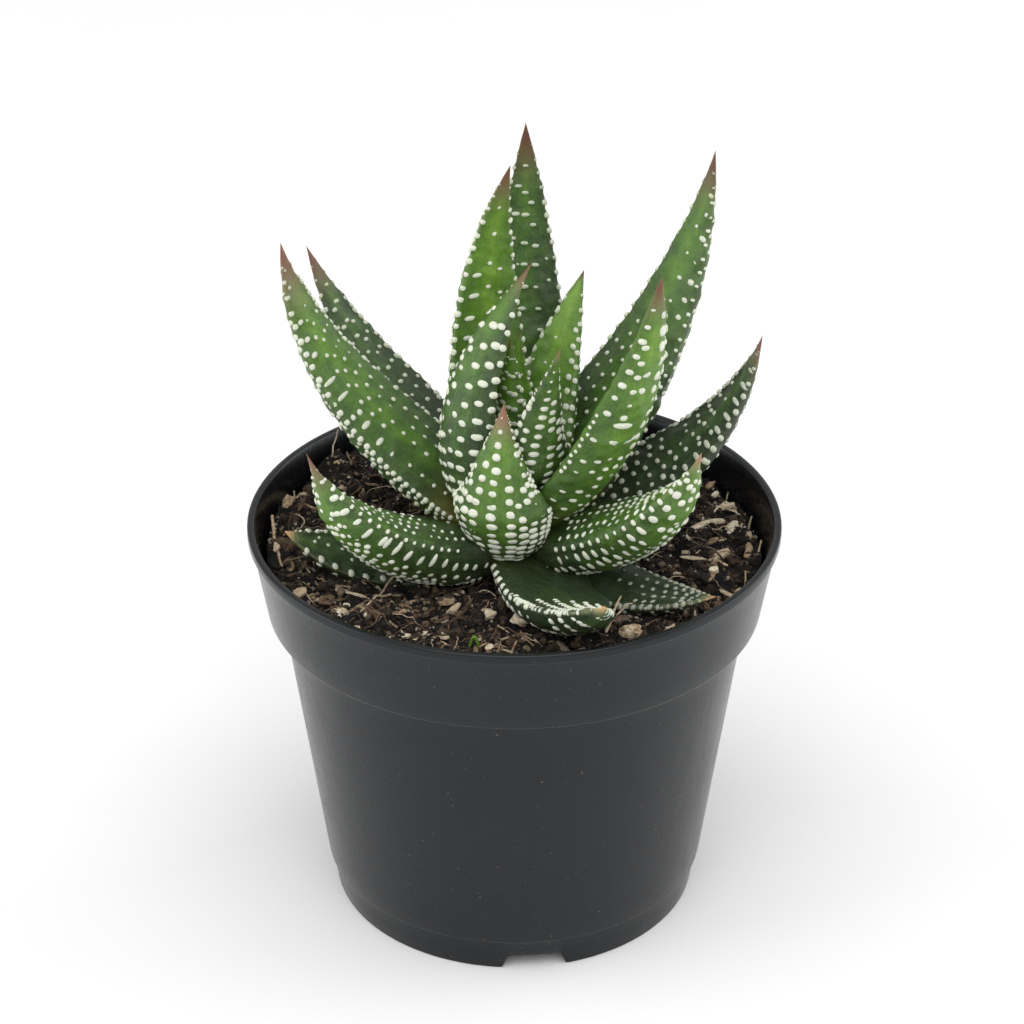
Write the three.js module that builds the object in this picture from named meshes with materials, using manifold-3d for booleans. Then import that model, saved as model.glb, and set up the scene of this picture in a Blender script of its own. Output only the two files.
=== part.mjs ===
// A potted haworthia: a rosette of thick pointed leaves with raised white tubercles, on a short
// stem in a round nursery pot of peat and bark. Millimetres, +Z up. The origin is the middle of
// the pot's foot, +X is to the right and -Y is the front.

import * as THREE from 'three';
import { mergeVertices } from 'three/addons/utils/BufferGeometryUtils.js';
import Module from 'manifold-3d';

const wasm = await Module();
wasm.setup();

// ---------------------------------------------------------------- driving dimensions

const GAP = 0.3; // clearance between pieces that touch

// The pot: radii and heights of its stepped, tapering wall.
const RIM_RADIUS = 52.5;
const POT_HEIGHT = 83;
const LIP_DEPTH = 2.1;
const LIP_OVERHANG = 0.7;
const COLLAR_FOOT = 64.8; // height of the collar's lower edge
const COLLAR_FOOT_RADIUS = 49.1;
const BODY_TOP = 63.5; // height where the body meets the step under the collar
const BODY_TOP_RADIUS = 46.2;
const STEP_SLOPE = 0.7; // how much lower the step lies on the inside
const BODY_FOOT_RADIUS = 38.6;
const SKIRT_HEIGHT = 7;
const SKIRT_TOP_RADIUS = 37.9;
const SKIRT_FOOT_RADIUS = 37;
const WALL = 1.4;
const FLOOR_UNDERSIDE = 3.2;
const FLOOR_TOP = 4.7;
const POT_FACETS = 44;

const NOTCH_COUNT = 3;
const NOTCH_WIDTH_BELOW = 13;
const NOTCH_WIDTH_ABOVE = 10.5;
const NOTCH_HEIGHT = 3;
const NOTCH_TURN = 6; // degrees from the front to the first notch

const DRAIN_COUNT = 8;
const DRAIN_RADIUS = 3.5;
const DRAIN_CIRCLE = 26;
const DRAIN_FACETS = 8;

// The soil: its level, which rises towards the rear left, and the lumps of its top.
const SOIL_LEVEL = 75;
const SOIL_RISE = 1.6;
const SOIL_RISE_AZIMUTH = 140;
const SOIL_LUMP = 0.45;
const SOIL_LUMP_WAVES = 6;
const SOIL_TOP_RADII = [42, 34, 26, 18, 9];
const SOIL_FACETS = 32;

// The rosette stands a little in front of the pot's axis.
const ROSETTE_X = 0.5;
const ROSETTE_Y = -4;

// The stem: radius at each height, from the root crown's end to the growing tip.
const STEM_PROFILE = [
  [0, 47], [2.4, 49], [4.6, 62], [6, 72], [6.2, 79], [5.4, 85], [3.6, 91], [1.6, 95], [0, 96],
];
const STEM_FACETS = 12;

// Leaves: how finely they are cut, and the shape that they share.
const RING_SPACING = 2.7;
const SMOOTH_RING_SPACING = 3;
const MIDRIB_STEPS = 60;
const TUBERCLE_HEIGHT = 0.5;
const TIP_HALF_WIDTH = 0.4;

// Corners of a leaf's section, in degrees: one margin at 0, the inner face, the other margin at
// 180, then the outer face.
const SECTION = [0, 60, 120, 180, 206, 232, 257, 283, 308, 334];
const FIRST_MARGIN = 0;
const SECOND_MARGIN = 3;

// What each leaf has unless it says otherwise. azimuth is the way it points, in degrees from the
// right and towards the back, and sweep is how far that turns on the way to the tip. rise is its
// slope at the seat and at the tip, and bend says how late the slope changes. roll turns the blade
// about its midrib, at the seat and at the tip. seat is [distance from the stem's axis, height].
// depth is the keel's depth as a share of the width and crown the inner face's. widest is where
// along the leaf it is widest, foot is the width at the seat as a share of that, and taper is how
// long the edges stay full before the point.
const COMMON = {
  sweep: 0, bend: 1, roll: [0, 0], depth: 0.36, crown: 0.05, widest: 0.16, foot: 0.85, taper: 1.6,
};

// The leaves, from the heart of the rosette outwards: each wraps round those before it.
const LEAVES = {
  leaf_heart_front: {
    azimuth: 228, rise: [94, 86], length: 32.5, width: 9.5, seat: [2, 92], roll: [-8, 4],
  },
  leaf_heart_rear: {
    azimuth: 89, sweep: -6, rise: [80, 86], length: 31, width: 9, seat: [3, 91], taper: 1.25,
  },
  leaf_centre_right: {
    azimuth: 65, sweep: -12, rise: [73, 54], bend: 0.5, length: 45.5, width: 16.5,
    seat: [3.5, 88], roll: [-14, -2],
  },
  leaf_centre_left: {
    azimuth: 121, rise: [64, 117], length: 72.5, width: 18.5, seat: [3, 88], roll: [-3, -4],
    taper: 1.45,
  },
  leaf_front_right_young: {
    azimuth: 286, sweep: 9, rise: [78, 61], bend: 0.8, length: 50, width: 14, seat: [4.5, 85.5],
    roll: [-3, 8], widest: 0.38, foot: 0.55, taper: 0.8,
  },
  leaf_front_left: {
    azimuth: 207, sweep: 18, rise: [35, 138], bend: 0.6, length: 54.5, width: 18,
    seat: [3, 88.5], roll: [-6, -2], widest: 0.18, foot: 0.8, taper: 1.35,
  },
  leaf_rear_tall: {
    azimuth: 86.5, rise: [44, 96], length: 78.5, width: 19, seat: [3.5, 84], roll: [1, 2],
    taper: 1.7,
  },
  leaf_front_right: {
    azimuth: 327.5, sweep: -3, rise: [47, 83], bend: 1.2, length: 64, width: 20.5,
    seat: [3, 88], roll: [5, -21], depth: 0.34, widest: 0.2, foot: 0.75, taper: 1.55,
  },
  leaf_front_short: {
    azimuth: 259, sweep: -4, rise: [60, 105], bend: 0.9, length: 35, width: 18.8,
    seat: [9.5, 82.5], roll: [-6, -6], widest: 0.42, foot: 0.4, taper: 0.76,
  },
  leaf_tall_right: {
    azimuth: 34, sweep: -5, rise: [39, 81], bend: 1.3, length: 79.5, width: 22, seat: [3, 86.5],
    roll: [9, 1], taper: 1.55,
  },
  leaf_tall_left: {
    azimuth: 159.5, sweep: 2, rise: [28, 81], bend: 1.6, length: 70.5, width: 20.5,
    seat: [3, 85.5], roll: [-7, -11], taper: 1.75,
  },
  leaf_left_rear: {
    azimuth: 130.5, sweep: 25, rise: [12, 66], bend: 0.9, length: 67.5, width: 17.5,
    seat: [5, 85], roll: [-22, -9], taper: 1.55,
  },
  leaf_right_dark: {
    azimuth: 15.5, sweep: -12, rise: [-1, 76], length: 61.5, width: 19.5, seat: [3, 85],
    roll: [23, 8], taper: 1.55,
  },
  leaf_low_right: {
    azimuth: 332, sweep: -14, rise: [15, 69], bend: 1.5, length: 49, width: 22, seat: [3, 83],
    roll: [-5, 5], depth: 0.4, crown: 0.11, widest: 0.22, foot: 0.5, taper: 2.2,
  },
  leaf_low_left: {
    azimuth: 207, sweep: 5, rise: [-2, 68], length: 53, width: 22.5, seat: [3, 83.5],
    roll: [16, -1], depth: 0.42, crown: 0.1, widest: 0.22, foot: 0.65, taper: 2,
  },
  leaf_rear_low_left: {
    azimuth: 130, rise: [-2, 22], length: 42, width: 14, seat: [4, 80.5], depth: 0.34,
  },
  leaf_rear_low: {
    azimuth: 91, rise: [-2, 20], length: 40, width: 13, seat: [4, 79.5], depth: 0.34,
  },
  leaf_rear_low_right: {
    azimuth: 54, rise: [-2, 24], length: 38, width: 13, seat: [4, 80.5], depth: 0.34,
  },
  leaf_soil_left: {
    azimuth: 185, sweep: 8, rise: [-42, 36], bend: 0.6, length: 45.5, width: 18.5,
    seat: [3, 80.4], roll: [18, -26], depth: 0.3, taper: 2.4,
  },
  leaf_soil_right: {
    azimuth: 329.5, sweep: -10, rise: [-30, 27], bend: 0.8, length: 44.5, width: 19,
    seat: [3, 81], roll: [-6, 7], depth: 0.28, taper: 1.7,
  },
  leaf_soil_front: {
    azimuth: 286, sweep: 8, rise: [-7, 45], bend: 1.4, length: 41.5, width: 19.5,
    seat: [9, 81.5], roll: [-13, -9], depth: 0.3, widest: 0.4, taper: 1.5,
  },
};

// Loose grains and chips in the soil's surface: place, size across, deep and high, and turn.
const GRAINS = {
  pebble_rear_left: { at: [-35.4, 29.2], size: [4.6, 3.8, 3.8], turn: 20, kind: 'perlite' },
  perlite_right: { at: [44.4, 8.2], size: [4.4, 3.6, 3.2], turn: -15, kind: 'perlite' },
  perlite_front_right: { at: [22, -31.2], size: [4.4, 3.4, 3], turn: 10, kind: 'perlite' },
  perlite_left: { at: [-33.4, -25.8], size: [3.8, 2.8, 2.4], turn: 35, kind: 'perlite' },
  bark_chip_front: { at: [0.8, -29.6], size: [4, 2.8, 2.2], turn: -30, kind: 'bark' },
  bark_chip_front_left: { at: [-5.4, -25], size: [5, 3, 2.2], turn: 12, kind: 'bark' },
};
const GRAIN_SINK = 0.2; // share of a grain's height that its middle lies above the soil

const STICK_FROM = [34.6, 6.4];
const STICK_TO = [42.4, 10.8];
const STICK_RADIUS = 0.85;
const STICK_ARCH = 0.7;
const STICK_LIFT = 0.5;

const FLAKE_OUTLINE = [[-23, -13.2], [-31.4, -24.2], [-26, -26.8], [-20.2, -26]];
const FLAKE_THICKNESS = 0.9;
const FLAKE_TILT = 12;

// ---------------------------------------------------------------- finishes

function finish(color, roughness) {
  return new THREE.MeshStandardMaterial({ color, roughness, metalness: 0 });
}

const potPlastic = () => finish('#37383b', 0.5);
const soilMix = () => finish('#3a2a20', 0.95);
const stemTissue = () => finish('#8a8a55', 0.7);
const leafGreen = () => finish('#4c7330', 0.45);
const bark = () => finish('#7d5a3c', 0.9);
const perlite = () => finish('#d9cdb6', 0.85);

// ---------------------------------------------------------------- helpers

const radians = THREE.MathUtils.degToRad;

// Seeded draws between 0 and 1, the same on every run.
function seededDraw(seed) {
  let state = seed;
  return () => {
    state = (state + 0x6d2b79f5) | 0;
    let bits = Math.imul(state ^ (state >>> 15), 1 | state);
    bits = (bits + Math.imul(bits ^ (bits >>> 7), 61 | bits)) ^ bits;
    return ((bits ^ (bits >>> 14)) >>> 0) / 4294967296;
  };
}

function solidFromArrays(positions, triangles) {
  const vertProperties = new Float32Array(positions);
  const triVerts = new Uint32Array(triangles);
  return new wasm.Manifold(new wasm.Mesh({ numProp: 3, vertProperties, triVerts }));
}

// A three.js geometry as a solid: its doubled points are merged first.
function solidFromGeometry(geometry) {
  const bare = geometry.index ? geometry : mergeVertices(geometry);
  bare.deleteAttribute('normal');
  bare.deleteAttribute('uv');
  const merged = mergeVertices(bare, 1e-4);
  const corners = Array.from(merged.index.array);
  const triangles = [];
  for (let i = 0; i < corners.length; i += 3) {
    const [a, b, c] = corners.slice(i, i + 3);
    if (a !== b && b !== c && c !== a) triangles.push(a, b, c);
  }
  return solidFromArrays(merged.attributes.position.array, triangles);
}

// A closed skin over rings of points, which run anticlockwise seen from the last ring, with one
// point closing each end.
function solidFromRings(rings, firstPoint, lastPoint) {
  const around = rings[0].length;
  const positions = [firstPoint, ...rings.flat(), lastPoint].flatMap((p) => [p.x, p.y, p.z]);
  const last = rings.length * around + 1;
  const at = (ring, k) => 1 + ring * around + (k % around);
  const triangles = [];
  for (let k = 0; k < around; k++) {
    triangles.push(0, at(0, k + 1), at(0, k));
    for (let ring = 0; ring + 1 < rings.length; ring++) {
      const [a, b, c, d] = [at(ring, k), at(ring, k + 1), at(ring + 1, k + 1), at(ring + 1, k)];
      triangles.push(a, b, c, a, c, d);
    }
    triangles.push(at(rings.length - 1, k), at(rings.length - 1, k + 1), last);
  }
  return solidFromArrays(positions, triangles);
}

// The largest of the bodies that a cut leaves, without the scraps.
function largestBody(solid) {
  const bodies = solid.decompose();
  return bodies.reduce((best, body) => (body.volume() > best.volume() ? body : best));
}

function meshFromSolid(name, solid, material) {
  const data = solid.getMesh();
  const geometry = new THREE.BufferGeometry();
  geometry.setAttribute('position', new THREE.BufferAttribute(data.vertProperties, 3));
  geometry.setIndex(new THREE.BufferAttribute(data.triVerts, 1));
  geometry.computeVertexNormals();
  const mesh = new THREE.Mesh(geometry, material);
  mesh.name = name;
  return mesh;
}

// ---------------------------------------------------------------- pot

// The wall's profile from the foot up the outside, over the lip and down the inside.
function potProfile() {
  const outside = [
    [SKIRT_FOOT_RADIUS, 0],
    [SKIRT_TOP_RADIUS, SKIRT_HEIGHT],
    [BODY_FOOT_RADIUS, SKIRT_HEIGHT + 0.3],
    [BODY_TOP_RADIUS, BODY_TOP],
    [COLLAR_FOOT_RADIUS, COLLAR_FOOT],
    [RIM_RADIUS - LIP_OVERHANG, POT_HEIGHT - LIP_DEPTH],
    [RIM_RADIUS, POT_HEIGHT - LIP_DEPTH + 0.2],
    [RIM_RADIUS, POT_HEIGHT],
  ];
  const inside = [
    [RIM_RADIUS - WALL, POT_HEIGHT],
    [RIM_RADIUS - LIP_OVERHANG - WALL, POT_HEIGHT - LIP_DEPTH],
    [COLLAR_FOOT_RADIUS - WALL, COLLAR_FOOT - STEP_SLOPE],
    [BODY_TOP_RADIUS - WALL, BODY_TOP - STEP_SLOPE],
    [BODY_FOOT_RADIUS - WALL, FLOOR_TOP],
    [0, FLOOR_TOP],
    [0, FLOOR_UNDERSIDE],
    [SKIRT_FOOT_RADIUS - WALL, FLOOR_UNDERSIDE],
    [SKIRT_FOOT_RADIUS - WALL, 0],
    [SKIRT_FOOT_RADIUS, 0],
  ];
  return outside.concat(inside).map(([radius, height]) => new THREE.Vector2(radius, height));
}

// A lathe turns about its own Y axis, so it is stood up on Z.
function turned(profile, facets) {
  return new THREE.LatheGeometry(profile, facets).rotateX(Math.PI / 2);
}

// The opening that one notch leaves in the skirt, narrower at its roof.
function notchCutter(angle) {
  const below = NOTCH_WIDTH_BELOW / 2;
  const above = NOTCH_WIDTH_ABOVE / 2;
  const outline = new THREE.Shape();
  outline.moveTo(-below, -1);
  outline.lineTo(below, -1);
  outline.lineTo(above, NOTCH_HEIGHT);
  outline.lineTo(-above, NOTCH_HEIGHT);
  outline.closePath();
  const length = 6;
  const cutter = new THREE.ExtrudeGeometry(outline, { depth: length, bevelEnabled: false });
  cutter.rotateX(Math.PI / 2);
  cutter.translate(0, length / 2 - SKIRT_FOOT_RADIUS, 0);
  cutter.rotateZ(angle);
  return solidFromGeometry(cutter);
}

function drainCutter(x, y) {
  const depth = FLOOR_TOP - FLOOR_UNDERSIDE + 1;
  const drill = new THREE.CylinderGeometry(DRAIN_RADIUS, DRAIN_RADIUS, depth, DRAIN_FACETS);
  drill.rotateX(Math.PI / 2);
  drill.translate(x, y, (FLOOR_TOP + FLOOR_UNDERSIDE) / 2);
  return solidFromGeometry(drill);
}

function makePot() {
  let pot = solidFromGeometry(turned(potProfile(), POT_FACETS));
  for (let i = 0; i < NOTCH_COUNT; i++) {
    pot = pot.subtract(notchCutter(radians(NOTCH_TURN + (360 * i) / NOTCH_COUNT)));
  }
  pot = pot.subtract(drainCutter(0, 0));
  for (let i = 0; i < DRAIN_COUNT; i++) {
    const angle = (2 * Math.PI * i) / DRAIN_COUNT;
    pot = pot.subtract(drainCutter(DRAIN_CIRCLE * Math.cos(angle), DRAIN_CIRCLE * Math.sin(angle)));
  }
  return pot;
}

// ---------------------------------------------------------------- stem

function makeStem(clearance) {
  const profile = STEM_PROFILE.map(([radius, height], i) => {
    const onAxis = radius === 0;
    const lift = onAxis ? Math.sign(i - 1) * clearance : 0;
    return new THREE.Vector2(onAxis ? 0 : radius + clearance, height + lift);
  });
  const stem = turned(profile, STEM_FACETS);
  stem.translate(ROSETTE_X, ROSETTE_Y, 0);
  return solidFromGeometry(stem);
}

// ---------------------------------------------------------------- leaves

// The way a leaf runs, the side it spreads to and the way its inner face looks, at a share of its
// length.
function frameAt(leaf, share) {
  const azimuth = radians(leaf.azimuth + leaf.sweep * share);
  const [seatRise, tipRise] = leaf.rise;
  const rise = radians(seatRise + (tipRise - seatRise) * share ** leaf.bend);
  const roll = radians(leaf.roll[0] + (leaf.roll[1] - leaf.roll[0]) * share);
  const level = new THREE.Vector3(Math.cos(azimuth), Math.sin(azimuth), 0);
  const along = level.clone().multiplyScalar(Math.cos(rise)).setZ(Math.sin(rise));
  const side = new THREE.Vector3(-Math.sin(azimuth), Math.cos(azimuth), 0);
  const inward = new THREE.Vector3().crossVectors(along, side);
  side.applyAxisAngle(along, roll);
  inward.applyAxisAngle(along, roll);
  return { along, side, inward };
}

// The midrib is walked in short steps from the seat on the stem.
function midribOf(leaf) {
  const azimuth = radians(leaf.azimuth);
  const [distance, height] = leaf.seat;
  const start = new THREE.Vector3(Math.cos(azimuth), Math.sin(azimuth), 0).multiplyScalar(distance);
  const points = [start.add(new THREE.Vector3(ROSETTE_X, ROSETTE_Y, height))];
  for (let i = 0; i < MIDRIB_STEPS; i++) {
    const { along } = frameAt(leaf, (i + 0.5) / MIDRIB_STEPS);
    points.push(points[i].clone().addScaledVector(along, leaf.length / MIDRIB_STEPS));
  }
  return points;
}

function midribAt(points, share) {
  const place = share * MIDRIB_STEPS;
  const i = Math.min(Math.floor(place), MIDRIB_STEPS - 1);
  return points[i].clone().lerp(points[i + 1], place - i);
}

// Width as a share of the greatest width: it swells from the foot, then narrows to the point.
function fullness(leaf, share) {
  if (share < leaf.widest) {
    return 1 - (1 - leaf.foot) * ((leaf.widest - share) / leaf.widest) ** 2;
  }
  return 1 - ((share - leaf.widest) / (1 - leaf.widest)) ** leaf.taper;
}

// How far a section corner is raised into a tubercle. Tubercles stand on every second ring: on
// both margins, on alternate corners of the outer face and more thinly on the inner face.
function tubercleAt(ring, corner, draw) {
  const size = 0.8 + 0.4 * draw();
  if (ring % 2 === 0) return 0;
  const row = (ring - 1) / 2;
  if (corner === FIRST_MARGIN || corner === SECOND_MARGIN) return 0.8 * size;
  if (corner > SECOND_MARGIN) return (corner + row) % 2 === 1 ? size : 0;
  return (corner + row) % 4 === 0 ? 0.7 * size : 0;
}

// A leaf as rings of section points along its midrib. raise(ring, corner) lifts single points off
// the smooth skin and swell lifts all of them.
function leafSolid(leaf, spacing, swell, raise) {
  const points = midribOf(leaf);
  const count = Math.max(4, Math.round(leaf.length / spacing));
  const rings = [];
  for (let ring = 0; ring < count; ring++) {
    const share = ring / count;
    const { side, inward } = frameAt(leaf, share);
    const middle = midribAt(points, share);
    const width = leaf.width * fullness(leaf, share);
    const halfWidth = Math.max(width / 2, TIP_HALF_WIDTH);
    rings.push(SECTION.map((degrees, corner) => {
      const angle = radians(degrees);
      const outer = Math.sin(angle) < -1e-6;
      const halfDepth = halfWidth * 2 * (outer ? leaf.depth : leaf.crown);
      const lift = swell + raise(ring, corner) * Math.min(TUBERCLE_HEIGHT, halfWidth * 0.3);
      const across = new THREE.Vector2(halfWidth * Math.cos(angle), halfDepth * Math.sin(angle));
      const away = new THREE.Vector2(Math.cos(angle) * halfDepth, Math.sin(angle) * halfWidth);
      across.addScaledVector(away.normalize(), lift);
      return middle.clone().addScaledVector(side, across.x).addScaledVector(inward, across.y);
    }));
  }
  const { along: atSeat } = frameAt(leaf, 0);
  const { along: atTip } = frameAt(leaf, 1);
  const start = points[0].clone().addScaledVector(atSeat, -swell);
  const tip = points[MIDRIB_STEPS].clone().addScaledVector(atTip, swell);
  if (swell > 0) rings[0].forEach((point) => point.addScaledVector(atSeat, -swell));
  return solidFromRings(rings, start, tip);
}

const smoothSkin = () => 0;

// The room that a leaf takes up with its tubercles and a gap round them.
function leafRoom(leaf) {
  return leafSolid(leaf, SMOOTH_RING_SPACING, TUBERCLE_HEIGHT + GAP, smoothSkin);
}

// Every leaf is cut back where the stem and the leaves inside it stand.
function makeLeaves() {
  const rooms = [makeStem(GAP)];
  const made = {};
  Object.entries(LEAVES).forEach(([name, own], index) => {
    const leaf = { ...COMMON, ...own };
    const draw = seededDraw(index + 1);
    const raise = (ring, corner) => tubercleAt(ring, corner, draw);
    let solid = leafSolid(leaf, RING_SPACING, 0, raise);
    for (const room of rooms) solid = solid.subtract(room);
    made[name] = largestBody(solid);
    rooms.push(leafRoom(leaf));
  });
  return { made, rooms };
}

// ---------------------------------------------------------------- soil and what lies in it

// Low waves crossing at seeded angles stand for the crumbs of the top.
const soilWaves = (() => {
  const draw = seededDraw(77);
  return Array.from({ length: SOIL_LUMP_WAVES }, () => {
    const heading = 2 * Math.PI * draw();
    const wavelength = 9 + 12 * draw();
    return { heading, wavelength, phase: 2 * Math.PI * draw() };
  });
})();

function soilHeight(x, y) {
  const away = radians(SOIL_RISE_AZIMUTH);
  const rise = SOIL_RISE * (x * Math.cos(away) + y * Math.sin(away)) / RIM_RADIUS;
  const lumps = soilWaves.map(({ heading, wavelength, phase }) => {
    const distance = x * Math.cos(heading) + y * Math.sin(heading);
    return SOIL_LUMP * Math.sin(2 * Math.PI * distance / wavelength + phase);
  });
  return SOIL_LEVEL + rise + lumps.reduce((sum, lump) => sum + lump, 0);
}

function ringOfPoints(radius, facets, heightAt) {
  return Array.from({ length: facets }, (_, k) => {
    const angle = 2 * Math.PI * k / facets;
    const [x, y] = [radius * Math.cos(angle), radius * Math.sin(angle)];
    return new THREE.Vector3(x, y, heightAt(x, y));
  });
}

// The soil fills the pot with a small gap to its wall.
function makeSoil(rooms) {
  const inset = WALL + 2 * GAP;
  const slope = (RIM_RADIUS - LIP_OVERHANG - COLLAR_FOOT_RADIUS)
    / (POT_HEIGHT - LIP_DEPTH - COLLAR_FOOT);
  const edgeRadius = COLLAR_FOOT_RADIUS - inset + slope * (SOIL_LEVEL - SOIL_RISE - COLLAR_FOOT);
  const level = (height) => () => height;
  const rings = [
    ringOfPoints(BODY_FOOT_RADIUS - inset, SOIL_FACETS, level(FLOOR_TOP + GAP)),
    ringOfPoints(BODY_TOP_RADIUS - inset, SOIL_FACETS, level(BODY_TOP - STEP_SLOPE)),
    ringOfPoints(COLLAR_FOOT_RADIUS - inset, SOIL_FACETS, level(COLLAR_FOOT - STEP_SLOPE)),
    ...[edgeRadius, ...SOIL_TOP_RADII].map((r) => ringOfPoints(r, SOIL_FACETS, soilHeight)),
  ];
  const bottom = new THREE.Vector3(0, 0, FLOOR_TOP + GAP);
  const top = new THREE.Vector3(0, 0, soilHeight(0, 0));
  let soil = solidFromRings(rings, bottom, top);
  for (const room of rooms) soil = soil.subtract(room);
  return largestBody(soil);
}

// A grain is a lumpy ball, stretched to its size and half sunk in the soil.
function makeGrain({ at: [x, y], size, turn }, clearance) {
  const ball = new THREE.IcosahedronGeometry(1, 1);
  const points = ball.attributes.position;
  const point = new THREE.Vector3();
  for (let i = 0; i < points.count; i++) {
    point.fromBufferAttribute(points, i);
    const lump = 0.12 * Math.sin(3.1 * point.x + 2.3 * point.y + x)
      + 0.09 * Math.sin(4.7 * point.z - 2.9 * point.x + y);
    points.setXYZ(i, ...point.multiplyScalar(1 + lump).toArray());
  }
  ball.scale(...size.map((across) => across / 2 + clearance));
  ball.rotateZ(radians(turn));
  ball.translate(x, y, soilHeight(x, y) + GRAIN_SINK * size[2]);
  return solidFromGeometry(ball);
}

// The bark stick is a seven-sided rod, thinner at one end and a little arched.
function makeStick(clearance) {
  const [fromX, fromY] = STICK_FROM;
  const [toX, toY] = STICK_TO;
  const length = Math.hypot(toX - fromX, toY - fromY);
  const [thick, thin] = [STICK_RADIUS + clearance, STICK_RADIUS * 0.75 + clearance];
  const rod = new THREE.CylinderGeometry(thick, thin, length + 2 * clearance, 7, 4);
  rod.rotateZ(-Math.PI / 2);
  const points = rod.attributes.position;
  for (let i = 0; i < points.count; i++) {
    const share = points.getX(i) / (length / 2);
    points.setZ(i, points.getZ(i) + STICK_ARCH * (1 - share * share));
  }
  rod.rotateZ(Math.atan2(toY - fromY, toX - fromX));
  const [x, y] = [(fromX + toX) / 2, (fromY + toY) / 2];
  rod.translate(x, y, soilHeight(x, y) + STICK_LIFT);
  return solidFromGeometry(rod);
}

// The flake is a thin broken plate of bark, with its front edge tipped up.
function makeFlake(clearance) {
  const corners = FLAKE_OUTLINE.map(([x, y]) => new THREE.Vector2(x, y));
  const middle = corners.reduce((sum, corner) => sum.clone().add(corner)).divideScalar(corners.length);
  const outline = corners.map((corner) => {
    const arm = corner.clone().sub(middle);
    return arm.setLength(arm.length() + clearance * 1.5);
  });
  const depth = FLAKE_THICKNESS + 2 * clearance;
  const plate = new THREE.ExtrudeGeometry(new THREE.Shape(outline), { depth, bevelEnabled: false });
  plate.translate(0, 0, -depth / 2);
  plate.rotateX(-radians(FLAKE_TILT));
  plate.translate(middle.x, middle.y, soilHeight(middle.x, middle.y) + FLAKE_THICKNESS);
  return solidFromGeometry(plate);
}

// What lies on the soil keeps clear of the leaves, and the soil keeps clear of it.
function makeScatter(leafRooms) {
  const makers = {
    bark_stick: { make: makeStick, finish: bark },
    bark_flake: { make: makeFlake, finish: bark },
  };
  for (const [name, grain] of Object.entries(GRAINS)) {
    const make = (clearance) => makeGrain(grain, clearance);
    makers[name] = { make, finish: grain.kind === 'bark' ? bark : perlite };
  }
  const made = {};
  const rooms = [];
  for (const [name, { make, finish: material }] of Object.entries(makers)) {
    let solid = make(0);
    for (const room of leafRooms) solid = solid.subtract(room);
    made[name] = { solid: largestBody(solid), material };
    rooms.push(make(GAP));
  }
  return { made, rooms };
}

// ---------------------------------------------------------------- the whole

const leaves = makeLeaves();
const scatter = makeScatter(leaves.rooms);

const group = new THREE.Group();
group.add(meshFromSolid('pot', makePot(), potPlastic()));
group.add(meshFromSolid('soil', makeSoil(leaves.rooms.concat(scatter.rooms)), soilMix()));
group.add(meshFromSolid('stem', makeStem(0), stemTissue()));
for (const [name, solid] of Object.entries(leaves.made)) {
  group.add(meshFromSolid(name, solid, leafGreen()));
}
for (const [name, { solid, material }] of Object.entries(scatter.made)) {
  group.add(meshFromSolid(name, solid, material()));
}

export default group;
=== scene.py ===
"""A potted haworthia: a rosette of thick pointed leaves with raised white tubercles, in a dark
nursery pot of peat and bark, on a pale studio floor. Lengths are in millimetres until a mesh is
made."""
import functools

import bpy
import numpy as np
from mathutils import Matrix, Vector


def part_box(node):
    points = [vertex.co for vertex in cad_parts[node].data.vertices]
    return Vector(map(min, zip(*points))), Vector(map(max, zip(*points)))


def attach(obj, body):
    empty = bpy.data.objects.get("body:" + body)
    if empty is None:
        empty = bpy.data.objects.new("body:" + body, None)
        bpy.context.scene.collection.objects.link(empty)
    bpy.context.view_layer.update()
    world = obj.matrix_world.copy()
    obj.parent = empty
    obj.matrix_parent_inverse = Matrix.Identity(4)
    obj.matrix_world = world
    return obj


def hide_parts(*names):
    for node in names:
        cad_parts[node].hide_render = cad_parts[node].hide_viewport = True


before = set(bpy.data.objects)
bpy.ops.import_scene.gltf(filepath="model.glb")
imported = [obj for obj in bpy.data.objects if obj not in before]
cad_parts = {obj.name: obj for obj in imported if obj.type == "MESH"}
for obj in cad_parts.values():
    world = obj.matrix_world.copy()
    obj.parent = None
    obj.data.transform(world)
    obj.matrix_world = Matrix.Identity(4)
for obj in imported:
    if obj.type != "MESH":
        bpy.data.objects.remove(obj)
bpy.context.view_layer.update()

MM = 1000  # millimetres in a metre, so also the scale of a noise whose cells are 1 mm across

# ---------------------------------------------------------------- shapes shared with the CAD

GAP = 0.3
RIM_RADIUS = 52.5
POT_HEIGHT = 83
LIP_DEPTH = 2.1
LIP_OVERHANG = 0.7
COLLAR_FOOT = 64.8
COLLAR_FOOT_RADIUS = 49.1
BODY_TOP = 63.5
BODY_TOP_RADIUS = 46.2
STEP_SLOPE = 0.7
BODY_FOOT_RADIUS = 38.6
SKIRT_HEIGHT = 7
SKIRT_TOP_RADIUS = 37.9
SKIRT_FOOT_RADIUS = 37
WALL = 1.4
FLOOR_UNDERSIDE = 3.2
FLOOR_TOP = 4.7
NOTCH_COUNT = 3
NOTCH_WIDTH_BELOW = 13
NOTCH_WIDTH_ABOVE = 10.5
NOTCH_HEIGHT = 3
NOTCH_TURN = 6
DRAIN_COUNT = 8
DRAIN_RADIUS = 3.5
DRAIN_CIRCLE = 26

SOIL_LEVEL = 75
SOIL_RISE = 1.6
SOIL_RISE_AZIMUTH = 140

ROSETTE = (0.5, -4)
STEM_PROFILE = [
    (0, 47), (2.4, 49), (4.6, 62), (6, 72), (6.2, 79), (5.4, 85), (3.6, 91), (1.6, 95), (0, 96),
]

MIDRIB_STEPS = 60
POINT_LENGTH = 9  # the end of a leaf that point draws out finer

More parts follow.
